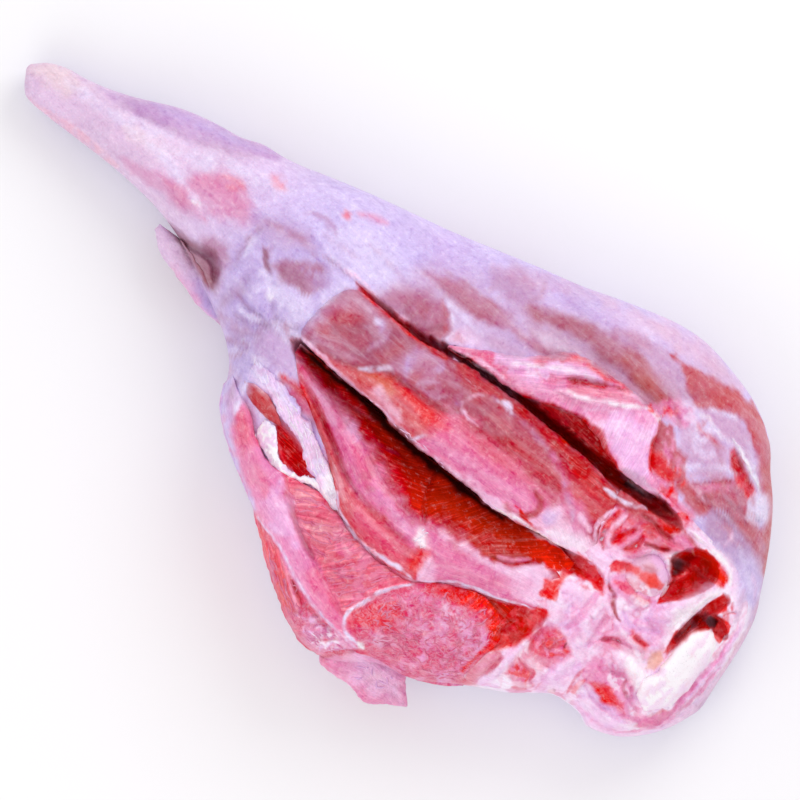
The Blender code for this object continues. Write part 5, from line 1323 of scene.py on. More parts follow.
meatLook = {                      # noises: cells a metre, detail, roughness, distortion
    "fibreStretch": (110, 1500, 0),   # noise cells a metre, along and across the fibres
    "fibreNoise": (1, 3, 0.55, 0.3),
    "filmStretch": (34, 150, 0),
    "filmNoise": (1, 5, 0.6, 0.7),
    "streakStretch": (22, 210, 0),
    "streakNoise": (1, 4, 0.6, 0.8),
    "fine": (420, 5, 0.65, 0.5),
    "spots": (75, 6, 0.62, 0.9),
    "thread": (230, 3, 0.6, 1.2),
    "specks": (900, 2, 0.5, 0),
    "drift": (26, 3, 0.5, 0.4),
    "blotch": (210, 4, 0.6, 0.6),
    "bundles": 430,               # cells a metre of the cut grain
    "shakeSize": 260,             # cells a metre of the noise that bends the cut grain
    "shake": 0.004,
    "film": (0.86, 0.74, 0.95),
    "threadPink": (0.94, 0.60, 0.78),
    "roughness": (0.24, 0.50),
    "brightness": (0.90, 1.08),
    "saturation": 1.08,
    "gloss": 0.30,
    "deepGloss": 0.05,
    "fibreRise": 0.8,
    "deepFibreRise": 2.0,
    "bump": 0.5,
    "bumpDepth": 0.0012,
    "softness": 0.10,
    "softRadius": (0.004, 0.0015, 0.0012),
}


def rawMeat(name, gloss, fibreRise):
    # raw muscle: tint, fibres, pale film and cut grain come from attributes
    material = bpy.data.materials.new(name)
    tree, shader = nodeKit(material)
    flow = stored(tree, "flow", "Vector")
    place = addNode(tree, "ShaderNodeTexCoord").outputs["Object"]
    grain, film, worm = addNode(tree, "ShaderNodeSeparateXYZ", {0: stored(tree, "feel", "Vector")}).outputs

    fibre = stretchedNoise(tree, flow, meatLook["fibreStretch"], *meatLook["fibreNoise"])
    sweep = stretchedNoise(tree, flow, meatLook["filmStretch"], *meatLook["filmNoise"])
    streak = stretchedNoise(tree, flow, meatLook["streakStretch"], *meatLook["streakNoise"])
    fine, spots, specks, drift, blotch = [
        noiseNode(tree, place, *meatLook[key]) for key in ("fine", "spots", "specks", "drift", "blotch")]
    inputs = {"Scale": meatLook["shakeSize"], "Detail": 2, "Vector": place}
    shake = addNode(tree, "ShaderNodeTexNoise", inputs)
    inputs = {0: shake.outputs["Color"], 1: (meatLook["shake"],) * 3, 2: place}
    bent = addNode(tree, "ShaderNodeVectorMath", inputs, operation="MULTIPLY_ADD").outputs[0]
    inputs = {"Scale": meatLook["bundles"], "Randomness": 1.0, "Vector": bent}
    bundle = addNode(tree, "ShaderNodeTexVoronoi", inputs, feature="F1")
    wormLine = bandNode(tree, noiseNode(tree, bent, *meatLook["thread"]), 0.5, 0.07)
    wormGap = rampNode(tree, bundle.outputs["Distance"], 0.35, 0.8)

    fibres = scaled(tree, grain, 0.42)
    streaks = mathNode(tree, "ADD", scaled(tree, grain, 0.7), 0.2)
    colour = stored(tree, "tint", "Color")
    for factor, rise, saturation in (
            (scaled(tree, rampNode(tree, fibre, 0.46, 0.68), fibres), fibreRise, 0.92),
            (scaled(tree, rampNode(tree, fibre, 0.44, 0.26), fibres), -0.36, 1.12),
            (scaled(tree, rampNode(tree, streak, 0.5, 0.72), streaks), 0.22, 0.74),
            (scaled(tree, rampNode(tree, streak, 0.5, 0.28), streaks), -0.20, 1.22),
            (rampNode(tree, fine, 0.52, 0.72), 0.10, 0.80),
            (rampNode(tree, fine, 0.48, 0.28), -0.12, 1.14)):
        colour = lifted(tree, colour, factor, rise, saturation)
    filmPatch = scaled(tree, rampNode(tree, sweep, 0.42, 0.72), scaled(tree, film, 0.55))
    colour = tintMix(tree, filmPatch, colour, meatLook["film"])
    colour = tintMix(tree, scaled(tree, wormLine, scaled(tree, worm, 0.55)), colour, meatLook["threadPink"])
    colour = lifted(tree, colour, scaled(tree, wormGap, worm), -0.10, 1.15)
    colour = lifted(tree, colour, scaled(tree, rampNode(tree, blotch, 0.5, 0.34), 0.5), -0.10, 1.20)
    colour = lifted(tree, colour, scaled(tree, rampNode(tree, blotch, 0.52, 0.68), 0.4), 0.08, 0.88)
    mixed = mathNode(tree, "ADD", scaled(tree, specks, 0.45), scaled(tree, drift, 0.55))
    bright = spreadNode(tree, mixed, *meatLook["brightness"], start=0.3, end=0.7)
    inputs = {"Value": bright, "Saturation": meatLook["saturation"], "Color": colour}
    colour = addNode(tree, "ShaderNodeHueSaturation", inputs).outputs["Color"]

    height = scaled(tree, fibre, grain)
    for bumps in (scaled(tree, specks, 0.18), scaled(tree, wormLine, scaled(tree, worm, 1.3)),
                  scaled(tree, spots, 0.8), scaled(tree, fine, 0.9)):
        height = mathNode(tree, "ADD", height, bumps)
    feed(shader, {
        "Base Color": colour,
        "Roughness": spreadNode(tree, spots, *meatLook["roughness"]),
        "Normal": bumpNode(tree, height, meatLook["bump"], meatLook["bumpDepth"]),
        "Subsurface Weight": meatLook["softness"],
        "Subsurface Radius": meatLook["softRadius"],
        "Subsurface Scale": 1.0,
        "Specular IOR Level": gloss,
    })
    return material


meatMaterial = rawMeat("rawMeat", meatLook["gloss"], meatLook["fibreRise"])
deepMaterial = rawMeat("deepMeat", meatLook["deepGloss"], meatLook["deepFibreRise"])


def shadeDepths(obj, colour):
    # the dark reds of the openings are matt, or they would look greyed
    obj.data.materials.append(deepMaterial)
    deep = (colour[:, 1] < 0.075) & (colour[:, 2] < 0.10)
    for face in obj.data.polygons:
        if sum(deep[v] for v in face.vertices) >= 3:
            face.material_index = 1


def legForm():
    # the skin with the openings pressed in, and how far up its section each point is, -1..1
    rings, around = leg["rings"], leg["topPoints"] + leg["basePoints"]
    ends = (leg["heights"][0][0], leg["heights"][-1][0])
    x = ends[0] + (ends[1] - ends[0]) * np.linspace(0, 1, rings)
    rear, front, top, base = [v[:, None] for v in sectionAt(x)]
    angle = np.concatenate([np.linspace(0, math.pi, leg["topPoints"], endpoint=False),
                            np.linspace(math.pi, 2 * math.pi, leg["basePoints"], endpoint=False)])[None, :]
    power = np.where(np.sin(angle) >= 0, 2 / leg["topRound"], 2 / leg["baseRound"])
    across = np.sign(np.cos(angle)) * np.abs(np.cos(angle)) ** power
    height = np.sign(np.sin(angle)) * np.abs(np.sin(angle)) ** power
    middle = base + leg["widestAt"] * (top - base)
    y = (front + rear) / 2 + (front - rear) / 2 * across
    z = (middle + np.where(height >= 0, top - middle, middle - base) * height).ravel()
    x, side = [np.broadcast_to(v, y.shape).ravel() for v in (x[:, None], height)]
    y = y.ravel()
    upper = smoothStep(0.0, 0.35, side)
    z = z - openingDepth(x, y) * upper
    butt = smoothStep(112, 135, x) * smoothStep(52, 40, y)
    z = z + upper * (0.5 * noiseAt(x, y, 18, 3, 2) + 0.18 * noiseAt(x, y, 4, 5, 2))
    z = z + upper * butt * 0.9 * (np.abs(noiseAt(x, y, 9, 23, 3)) - 0.25)
    z = np.maximum(z + upper * foldsAt(x, y), 0)
    verts = np.vstack([np.stack([x, y, z], axis=1), leg["tips"]])
    first, last, tail = len(verts) - 2, len(verts) - 1, (rings - 1) * around
    faces = tubeFaces(rings, around)
    faces += [(first, (j + 1) % around, j) for j in range(around)]
    faces += [(last, tail + j, tail + (j + 1) % around) for j in range(around)]
    return verts, faces, np.concatenate([side, [-1, -1]])


skinLook = {
    "shankFrom": (-60, -130),     # x over which fascia turns to the shank's skin
    "wall": (0.42, 0.0),          # heights in the section between which the paint starts to wander
    "wander": (7, 9),             # along and across the leg
    "under": (0.12, -0.62),       # heights between which the underside's fascia takes over
    "underShade": 0.93,
    "bruise": 0.45,
    "pitRed": (0.5, 2.5),         # depths of an opening between which it turns red
    "fibres": (0.10, 0.5),        # on the skin, and added in an opening
    "film": 0.32,
}


def legBody():
    # the whole leg's skin: painted from above, pale fascia underneath
    verts, faces, side = legForm()
    x, y, z = verts.T
    made = addMesh("legBody", toWorld(verts), faces, meatMaterial)
    colour = towards(linear("fascia"), "shankSkin", smoothStep(*skinLook["shankFrom"], x)[:, None])
    wall = smoothStep(*skinLook["wall"], side)
    shiftX = skinLook["wander"][0] * wall * noiseAt(z * 1.5, y, 15, 81, 3)
    shiftY = skinLook["wander"][1] * wall * noiseAt(z * 1.5, x + y, 15, 83, 3)
    colour = paintAt(x + shiftX, y + shiftY, colour, groundAreas)
    sunk = openingDepth(x, y, [name for name in openings if name != "calfGap"]) * smoothStep(0.0, 0.35, side)
    red = smoothStep(*skinLook["pitRed"], sunk)
    colour = towards(colour, "deep", 0.5 * red[:, None])
    alongSide, upSide = x + 0.4 * y, z * 1.6
    under = smoothStep(*skinLook["under"], side + 0.34 * noiseAt(alongSide, upSide, 34, 71, 3))
    bruise = smoothStep(0.05, 0.55, noiseAt(alongSide, upSide, 46, 73, 3))[:, None]
    skin = towards(linear("fascia") * skinLook["underShade"], "mauve", bruise * skinLook["bruise"])
    colour = colour + (skin - colour) * under[:, None]
    shadeDepths(made, colour)
    fibres = skinLook["fibres"][0] + skinLook["fibres"][1] * red
    feel = np.stack([fibres, skinLook["film"] * (1 - red), 0 * red], axis=1)
    dress(made, colour, verts * mm, feel)
    return made


def closeSeams(obj):
    # rows that meet become one, and every face looks outwards
    bm = bmesh.new()
    bm.from_mesh(obj.data)
    bmesh.ops.remove_doubles(bm, verts=bm.verts, dist=0.00001)
    bmesh.ops.dissolve_degenerate(bm, edges=bm.edges, dist=0.000005)
    bmesh.ops.recalc_face_normals(bm, faces=bm.faces)
    bm.to_mesh(obj.data)
    bm.free()
    obj.data.shade_smooth()


def grainByPlace(verts, flow, feel):
    x, y = verts[:, 0], verts[:, 1]
    px, py = warped(x, y)
    for angle, size, fibre, film, worm, outline in textures:
        inside = insideOutline(px, py, outline) > 0
        turn = math.radians(angle)
        run = x * math.cos(turn) + y * math.sin(turn)
        across = y * math.cos(turn) - x * math.sin(turn)
        bend = 1.5 * noiseAt(x, y, 16, 321, 2)
        flow[inside] = np.stack([run, across + bend, verts[:, 2] * 0 + angle], axis=1)[inside] * size
        feel[inside] = (fibre, film, worm)


muscleLook = {                    # what a muscle has unless its own look says otherwise
    "step": 0.7,                  # between its points
    "ragged": 0.5,                # how far its edges wander
    "round": 2.4,
    "endRound": 10,
    "lift": 0,
    "crown": 4,                   # above the leg, and under is below it
    "under": 4,
    "relief": 0.35,
    "sunk": 0,                    # share of the openings that it follows down
    "openings": None,
    "folded": False,
    "mottled": False,
    "grain": 0.5,
    "film": 0.2,
    "worm": 0.0,
    "below": "deep",
    "rimSharp": 5,
    "rimStrength": 0.8,
}


def shakenEdge(edge, other, ragged, seed):
    # an edge line that wanders away from the other one and back
    out = edge - other
    out = out / np.maximum(np.linalg.norm(out, axis=1), 0.5)[:, None]
    shake = ragged * (noiseAt(edge[:, 0], edge[:, 1], 6, seed, 3)
                      + 0.4 * noiseAt(edge[:, 0], edge[:, 1], 2, seed + 5, 2))
    fade = np.sin(math.pi * np.linspace(0, 1, len(edge))) ** 0.3
    return edge + out * (shake * fade)[:, None]


def layMuscle(name, front, rear, ownLook):
    # a closed muscle, flap or strip between two edge lines, laid on the leg
    look = {**muscleLook, "seed": len(name) * 7, "rim": ownLook["core"], "material": meatMaterial, **ownLook}
    seed = look["seed"]
    front, rear = np.array(front, float), np.array(rear, float)
    length = max(lineLength(front), lineLength(rear))
    n = max(10, int(length / look["step"]))
    dense = evenCurve(front, n), evenCurve(rear, n)
    m = max(8, int(np.linalg.norm(dense[0] - dense[1], axis=1).max() / look["step"]) + 6)
    t = np.linspace(0, 1, n)[:, None]
    even = np.linspace(0, 1, m)
    s = (0.55 * even + 0.45 * (1 - np.cos(math.pi * even)) / 2)[None, :]
    edges = [shakenEdge(dense[k], dense[1 - k], look["ragged"], seed + k) for k in (0, 1)]
    x = edges[0][:, :1] * (1 - s) + edges[1][:, :1] * s
    y = edges[0][:, 1:2] * (1 - s) + edges[1][:, 1:2] * s
    px, py = x.ravel(), y.ravel()
    span = 2 * s - 1
    crownShape = (1 - np.abs(span) ** look["round"]) ** 0.5
    underShape = (1 - np.abs(span) ** 4) ** 0.5
    endFade = np.clip(1 - np.abs(2 * t - 1) ** look["endRound"], 0, 1) ** 0.5
    ground = topAt(px, py).reshape(x.shape)
    relief = look["relief"] * (noiseAt(px, py, 9, seed + 11, 3)
                               + 0.45 * noiseAt(px, py, 3, seed + 12, 2)).reshape(x.shape)
    if look["mottled"]:
        relief = relief + veins(px, py).reshape(x.shape) * crownShape
    if look["folded"]:
        ground = ground + foldsAt(px, py).reshape(x.shape) * crownShape
    if look["sunk"]:
        ground = ground - look["sunk"] * openingDepth(px, py, look["openings"]).reshape(x.shape)
    seat = ground + along(look["lift"], t)
    upper = seat + along(look["crown"], t) * endFade * crownShape + relief * crownShape * endFade
    lower = seat - look["under"] * underShape * endFade

    below = slice(-2, 0, -3)      # the underside keeps every third row
    top, low = np.stack([x, y, upper], axis=-1), np.stack([x, y, lower], axis=-1)[:, below]
    ring = np.concatenate([top, low], axis=1)
    verts = ring.reshape(-1, 3)
    made = addMesh(name, toWorld(verts), tubeFaces(n, ring.shape[1]), look["material"])

    def ringed(upperSide, underSide, width):
        return np.concatenate([upperSide, underSide], axis=1).reshape(-1, width)

    rim = np.broadcast_to(np.abs(span) ** look["rimSharp"], x.shape)
    rim = ringed(rim, rim[:, below], 1)
    isTop = ringed(np.ones(x.shape), np.zeros(low.shape[:2]), 1)
    core = linear(look["core"])
    if "tail" in look:
        share = np.broadcast_to(t, ring.shape[:2]).reshape(-1, 1)
        core = towards(core, look["tail"], smoothStep(0.35, 0.85, share))
    colour = towards(core, look["rim"], np.clip(rim * look["rimStrength"], 0, 1))
    colour = np.broadcast_to(colour, verts.shape).copy()
    if look["mottled"]:
        colour = mottle(verts[:, 0], verts[:, 1], colour)
    colour = paintAt(verts[:, 0], verts[:, 1], colour, sheetAreas.get(name, ()))
    colour = colour * isTop + (colour * 0.25 + linear(look["below"]) * 0.75) * (1 - isTop)
    if look["material"] is meatMaterial:
        shadeDepths(made, colour)
    across = (s - 0.5) * np.linalg.norm(edges[0] - edges[1], axis=1)[:, None]
    flow = np.stack([np.broadcast_to(t * length, x.shape), across, np.full(x.shape, seed * 3.0)], axis=-1)
    flow = ringed(flow, flow[:, below], 3)
    feel = np.tile([float(look[key]) for key in ("grain", "film", "worm")], (len(verts), 1))
    if name in sheetAreas:
        grainByPlace(verts, flow, feel)
    dress(made, colour, flow * mm, feel)
    closeSeams(made)
    overlays.append(made)
    return made


def veins(x, y):
    # lumps of fat parted by soft winding creases
    coarse = smoothStep(0.30, 0.0, np.abs(noiseAt(x, y, 14, 201, 3)))
    fine = smoothStep(0.34, 0.0, np.abs(noiseAt(x, y, 6, 203, 3)))
    return 0.7 * noiseAt(x, y, 5, 213, 2) - 1.0 * coarse - 0.45 * fine


def mottle(x, y, colour):
    # pink where the flesh shows between the lumps
    tint = smoothStep(-0.4, 0.4, noiseAt(x, y, 15, 207, 3))
    patch = smoothStep(0.0, 0.4, noiseAt(x, y, 7, 209, 3))
    coarse = smoothStep(0.34, 0.0, np.abs(noiseAt(x, y, 14, 201, 3)))
    fine = smoothStep(0.22, 0.0, np.abs(noiseAt(x, y, 6, 203, 3)))
    for name, share in (("pinkWhite", 0.8 * tint), ("lilac", 0.5 * patch), ("flapPink", 0.5 * coarse * tint),
                        ("cutPink", 0.3 * fine), ("leafPink", 0.35 * coarse * fine)):
        colour = towards(colour, name, share[:, None])
    return colour


def lineLength(points):
    return np.linalg.norm(np.diff(points[:, :2], axis=0), axis=1).sum()


def along(values, t):
    # one number, or a list of them spread over the piece's length
    if isinstance(values, (int, float)):
        return np.full(t.shape, float(values))
    return np.interp(t, np.linspace(0, 1, len(values)), values)


overlays = []
body = legBody()
print("leg body", len(body.data.polygons))

muscles = {
    "eyeAndLeaf": (
        [(-39.5, 2), (-38, 13), (-33, 20), (-20, 21.5), (0, 22.2), (15, 25.5), (30, 29.5), (45, 31.5),
         (60, 33), (80, 34), (100, 34.5), (112, 33), (117, 27), (118.5, 17), (124, 9.5), (133, 6.5)],
        [(-39.5, -2), (-38, -11), (-32, -13.2), (-15, -13.5), (0, -12.4), (12, -12), (25, -13.5),
         (40, -12), (60, -10.5), (78, -9.5), (90, -7), (100, -4), (111, -1.5), (122, 2), (134, 5)],
        {"core": "belly", "tail": "strip", "crown": [5, 7, 8, 8.5, 8.5, 8, 7, 5, 2.5, 0.8],
         "lift": [-1, 0, 0.5, 1, 1, 0.5, 0, -0.3], "film": 0.25, "grain": 0.3, "under": 12, "round": 3.2,
         "ragged": 0.8, "folded": True, "endRound": 16, "seed": 21}),
    "lowerBed": (
        [(-35, -14.5), (-20, -13.5), (0, -13.5), (20, -13), (40, -12.5), (60, -11), (80, -9), (96, -5),
         (108, -2), (121, -3)],
        [(-34, -19), (-24, -27), (-10, -34), (5, -41.5), (16, -48.5), (28, -57), (42, -60), (56, -60.5),
         (73, -57), (88, -45.5), (100, -40.5), (112, -35), (122, -29)],
        {"core": "deep", "crown": [0.5, 3, 5, 6, 6.5, 6.5, 6, 4, 1], "lift": [0.4, 0.6, 0.6, 0.6, 0.4, 0.2],
         "film": 0.3, "grain": 0.3, "under": 6, "round": 3.4, "ragged": 0.6, "folded": True, "sunk": 0.55,
         "openings": ["longSlit"], "endRound": 16, "seed": 22}),
    "outerSheet": (
        [(-49, -45), (-40, -49.5), (-30, -52.5), (-20, -59), (-8, -62.5), (4, -60), (16, -57), (28, -58.5),
         (42, -61), (56, -61.5), (73, -58), (81, -51), (90, -45.5), (100, -41), (111, -42), (120, -50)],
        [(-49, -52), (-43, -61), (-30, -70.5), (-20, -75), (-5, -82), (8, -90), (24, -100), (38, -107.5),
         (52, -113), (63, -113.5), (73, -109), (86, -97), (100, -93), (114, -86.5), (124, -78)],
        {"core": "cutRed", "crown": [4, 7, 8, 8, 7, 6, 5, 4, 3, 2], "lift": [0, 0, 0, 0, -0.5], "film": 0.3,
         "below": "duskyRose",
         "grain": 0.28, "under": 12, "round": 3.6, "ragged": 0.8, "folded": True, "endRound": 16,
         "seed": 23}),
    "tendonStrip": (
        [(-44, -33), (-36, -32.5), (-28, -33.5), (-18, -35), (-6, -38.5), (4, -42.5), (12, -46), (19, -49),
         (24, -51), (28, -54.5)],
        [(-44, -38), (-38, -39.5), (-28, -41), (-18, -44.5), (-8, -46.5), (0, -50), (8, -53.5), (14, -55.5),
         (20, -57.5), (28, -57.5)],
        {"core": "fascia", "crown": [0.4, 1.5, 2.4, 3, 3.2, 3, 2.4, 1.4],
         "lift": [0.2, 0.6, 0.8, 1, 1, 0.8],
         "film": 0.6, "grain": 0.2, "under": 5, "ragged": 2.6, "relief": 0.8, "endRound": 3, "folded": True,
         "seed": 87}),
    "smallHead": (
        [(-42, -44), (-37, -41.4), (-30, -41), (-23, -43), (-17, -46.4)],
        [(-42, -44.6), (-37, -47.4), (-30, -49), (-23, -49.4), (-16.5, -47.6)],
        {"core": "brownRose", "crown": 1.8, "lift": 0, "film": 0.4, "grain": 0.4, "under": 6,
         "endRound": 2}),
    "tornFlap": (
        [(-23.5, -50), (-19, -49.6), (-14, -52), (-9, -56.4), (-3, -59.4), (3, -58), (8, -55.6),
         (12, -54.2), (17, -54)],
        [(-23, -56), (-20.5, -59.4), (-14, -61.4), (-8, -63.4), (-1, -63.4), (6, -61), (11, -58.4),
         (16, -57), (20, -55.4)],
        {"core": "white", "rim": "fasciaWhite", "crown": [0.6, 1.4, 1.8, 1.8, 1.4, 1, 0.6],
         "lift": [0.8, 2, 2.4, 2, 1.4, 0.6], "film": 0.4, "grain": 0.05, "under": 2, "ragged": 2.4,
         "relief": 0.5,
         "endRound": 3, "step": 0.5}),
    "tailFlap": (
        [(66, -105), (72, -100), (79, -96), (87, -93.5), (95, -92), (101, -91.5), (104, -94.5),
         (112, -102)],
        [(66, -111.5), (70, -114.5), (78, -114), (86, -113), (93, -114), (100, -112), (105, -107.5),
         (112, -102.6)],
        {"core": "flapPink", "rim": "flapPink", "crown": [5, 6, 6, 5, 4, 3, 1], "lift": [0, 0, -1, -2, -4],
         "below": "leafPink", "film": 0.4,
         "grain": 0.4, "worm": 0.3, "under": 7, "ragged": 1.0, "relief": 1.0, "endRound": 6}),
    "foldedFlap": (
        [(14, 30), (24, 37), (33, 43), (42, 49), (48, 56), (56, 65), (68, 68.6), (82, 70), (97, 71.5),
         (106, 69.5), (111, 58), (117, 50.5), (128, 47)],
        [(14, 28.5), (25, 30.5), (36, 32.4), (48, 34.4), (59, 38), (70, 43.4), (83, 45.4), (96, 43),
         (106, 40.6), (116, 41.4), (128, 43.4)],
        {"core": "flapPink", "crown": [1.5, 4, 5.5, 6, 5.5, 4, 1.5], "lift": [0, 1.5, 3, 3, 2, 0.5],
         "film": 0.4,
         "grain": 0.3, "under": 6, "round": 3, "ragged": 1.1, "relief": 0.8, "folded": True,
         "endRound": 8}),
    "calfFlap": (
        [(-120, -18.5), (-110, -17.5), (-98, -18.5), (-88, -21.5), (-79, -26.5), (-69, -30)],
        [(-120, -22), (-111, -28), (-98, -31), (-84, -33.5), (-76, -34), (-68, -33.5)],
        {"core": "shankSkin", "tail": "lavender", "crown": [4, 6, 6, 5, 2], "lift": [2, 0, -2, -2, -3],
         "below": "rose",
         "film": 0.5, "grain": 0.15, "under": 8, "ragged": 0.8, "endRound": 6}),
}
laid = {name: layMuscle(name, front, rear, look) for name, (front, rear, look) in muscles.items()}

laid["cutEnd"] = layMuscle(
    "cutEnd",
    [(113, 46), (130, 47), (150, 47), (168, 46), (183, 43), (193, 36), (200, 24), (204, 6), (205, -8)],
    [(115, -76), (127, -73), (138, -66), (148, -59), (156, -52.8), (168, -50.6), (181, -52), (194, -44),
     (204, -24)],
    {"core": "fat", "crown": 2.4, "lift": -0.2, "round": 14, "under": 3, "film": 0.25, "grain": 0.12,
     "relief": 0.5, "ragged": 0.3, "step": 0.5, "folded": True, "sunk": 1, "mottled": True,
     "endRound": 24, "seed": 5})


tornSheet = {
    "line": [(134, 86), (142, 85), (150, 82.5), (161, 78.5)],
    "halfWidths": [0.5, 1.1, 1.2, 0.6],
    "look": {"core": "fasciaWhite", "rim": "white", "film": 0.5, "grain": 0.1, "crown": 1.6, "under": 5,
             "ragged": 1.2, "relief": 1.1, "endRound": 4},
}


def layRidge(name, ridge):
    # a strip of its own half widths along one line
    middle = evenCurve(ridge["line"], 24)
    heading = np.gradient(middle, axis=0)
    heading /= np.linalg.norm(heading, axis=1)[:, None]
    side = np.stack([-heading[:, 1], heading[:, 0]], axis=1)
    reach = along(ridge["halfWidths"], np.linspace(0, 1, len(middle)))[:, None]
    return layMuscle(name, middle + side * reach, middle - side * reach, ridge["look"])


layRidge("tornSheet", tornSheet)

boneLook = {                      # noises: cells a metre, detail, roughness, distortion
    "pores": (1300, 3, 0.6, 0.2),
    "stains": (120, 5, 0.6, 0.8),
    "stainPink": (0.90, 0.60, 0.70),
    "roughness": (0.24, 0.5),
    "bump": 0.3,
    "bumpDepth": 0.0006,
    "softness": 0.08,
    "softRadius": (0.004, 0.003, 0.003),
}


def boneFinish():
    # damp cartilage and sawn bone
    material = bpy.data.materials.new("boneFinish")
    tree, shader = nodeKit(material)
    place = addNode(tree, "ShaderNodeTexCoord").outputs["Object"]
    pores = noiseNode(tree, place, *boneLook["pores"])
    stain = noiseNode(tree, place, *boneLook["stains"])
    stained = scaled(tree, rampNode(tree, stain, 0.5, 0.68), 0.5)
    colour = tintMix(tree, stained, stored(tree, "tint", "Color"), boneLook["stainPink"])
    height = mathNode(tree, "ADD", pores, stain)
    feed(shader, {
        "Base Color": lifted(tree, colour, rampNode(tree, pores, 0.44, 0.3), -0.18, 1.1),
        "Roughness": spreadNode(tree, stain, *boneLook["roughness"]),
        "Normal": bumpNode(tree, height, boneLook["bump"], boneLook["bumpDepth"]),
        "Subsurface Weight": boneLook["softness"],
        "Subsurface Radius": boneLook["softRadius"],
    })
    return material


boneMaterial = boneFinish()
sawnHip = layMuscle(
    "sawnHip",
    [(185, 16.5), (181, 12), (179.8, 4), (180.4, -6), (181, -14), (179.4, -21), (182, -27)],
    [(188.6, 17), (193.6, 13), (196.6, 6), (197, -3), (198.4, -12), (196.4, -22), (190, -30)],
    {"core": "bone", "rim": "white", "crown": [5, 7, 7, 7, 6, 4], "lift": [1.5, 2.5, 3, 3, 3, 2],
     "under": 14, "round": 4, "film": 0, "relief": 0.7, "ragged": 1, "endRound": 5,
     "material": boneMaterial, "below": "peach"})


ball = {
    "centre": (147, 14, 66),
    "radius": 13.0,
    "around": 120,
    "down": 72,
    "round": 0.86,                # share of the half turn from its top to where the neck starts
    "neck": (134, 5, 50),
    "torn": (21, 17),             # where the torn flesh starts and is whole
}
ballAreas = [
    ("lilac", 1.5, 1, 0.7, 0, [(143, 27), (150, 27), (157, 22), (156, 17), (150, 19), (145, 21)]),
    ("rust", 1.2, 1, 0.6, 0, [(143.5, 17.5), (146, 20.5), (150, 20), (150, 17.5), (146, 16.5)]),
    ("coral", 0.9, 1.2, 0.95, 0, [(132.5, 6), (135.5, 12.5), (140, 14.5), (146, 15), (150, 18),
        (156.5, 17.5), (157, 13.5), (152, 12), (147, 12), (142, 11), (138, 8), (135, 5)]),
    ("ember", 1, 1.2, 0.9, 0, [(149, 15.5), (152, 17), (155.5, 16), (155.5, 13.5), (151, 13)]),
    ("ember", 0.9, 1, 0.9, 0, [(133.5, 7), (136, 11), (138.5, 11), (138, 8), (135.5, 6)]),
    ("fat", 1.2, 1.5, 0.8, 0, [(140, 9), (147, 10.5), (156, 11), (158, 8), (150, 2), (142, 2), (137, 4)]),
    ("leafPink", 0.8, 1, 0.7, 2.2, [(139, 8), (147, 10.5), (155, 10), (150, 6), (142, 5)]),
]


def thighBall():
    # the thigh bone's ball, wrapped below in torn flesh
    around, down, centre = ball["around"], ball["down"], ball["centre"]
    polar = np.linspace(0.002, math.pi * ball["round"], down)[:, None]
    angle = np.linspace(0, 2 * math.pi, around, endpoint=False)[None, :]
    direction = np.stack([np.sin(polar) * np.cos(angle), np.sin(polar) * np.sin(angle),
                          np.cos(polar) * np.ones_like(angle)], axis=-1).reshape(-1, 3)
    x = centre[0] + ball["radius"] * direction[:, 0]
    y = centre[1] + ball["radius"] * direction[:, 1]
    torn = smoothStep(*ball["torn"], y - 0.25 * (x - centre[0])) * np.clip(direction[:, 2], 0, 1)
    lumps = 0.9 * noiseAt(x, y, 4, 91, 3) + 0.5 * noiseAt(x, y, 1.6, 92, 2)
    reach = ball["radius"] + torn * lumps + 0.12 * noiseAt(x, y, 6, 93, 2) - 1.2 * torn
    verts = np.vstack([np.array(centre) + direction * reach[:, None], [ball["neck"]]])
    last, tail = len(verts) - 1, (down - 1) * around
    faces = [*tubeFaces(down, around), tuple(range(around - 1, -1, -1))]
    faces += [(last, tail + j, tail + (j + 1) % around) for j in range(around)]
    made = addMesh("thighBall", toWorld(verts), faces, boneMaterial)
    x, y = verts[:, 0], verts[:, 1]
    colour = np.tile(linear("paleBand") * 0.4 + linear("pinkWhite") * 0.6, (len(verts), 1))
    rim = smoothStep(9.5, 12, np.hypot(x - centre[0], y - centre[1]))[:, None]
    colour = paintAreas(x, y, towards(colour, "white", rim * 0.6), ballAreas, noiseAt(x, y, 4, 95, 3))
    writeAttribute(made, "tint", "FLOAT_COLOR", colour)
    closeSeams(made)
    return made


femurBall = thighBall()

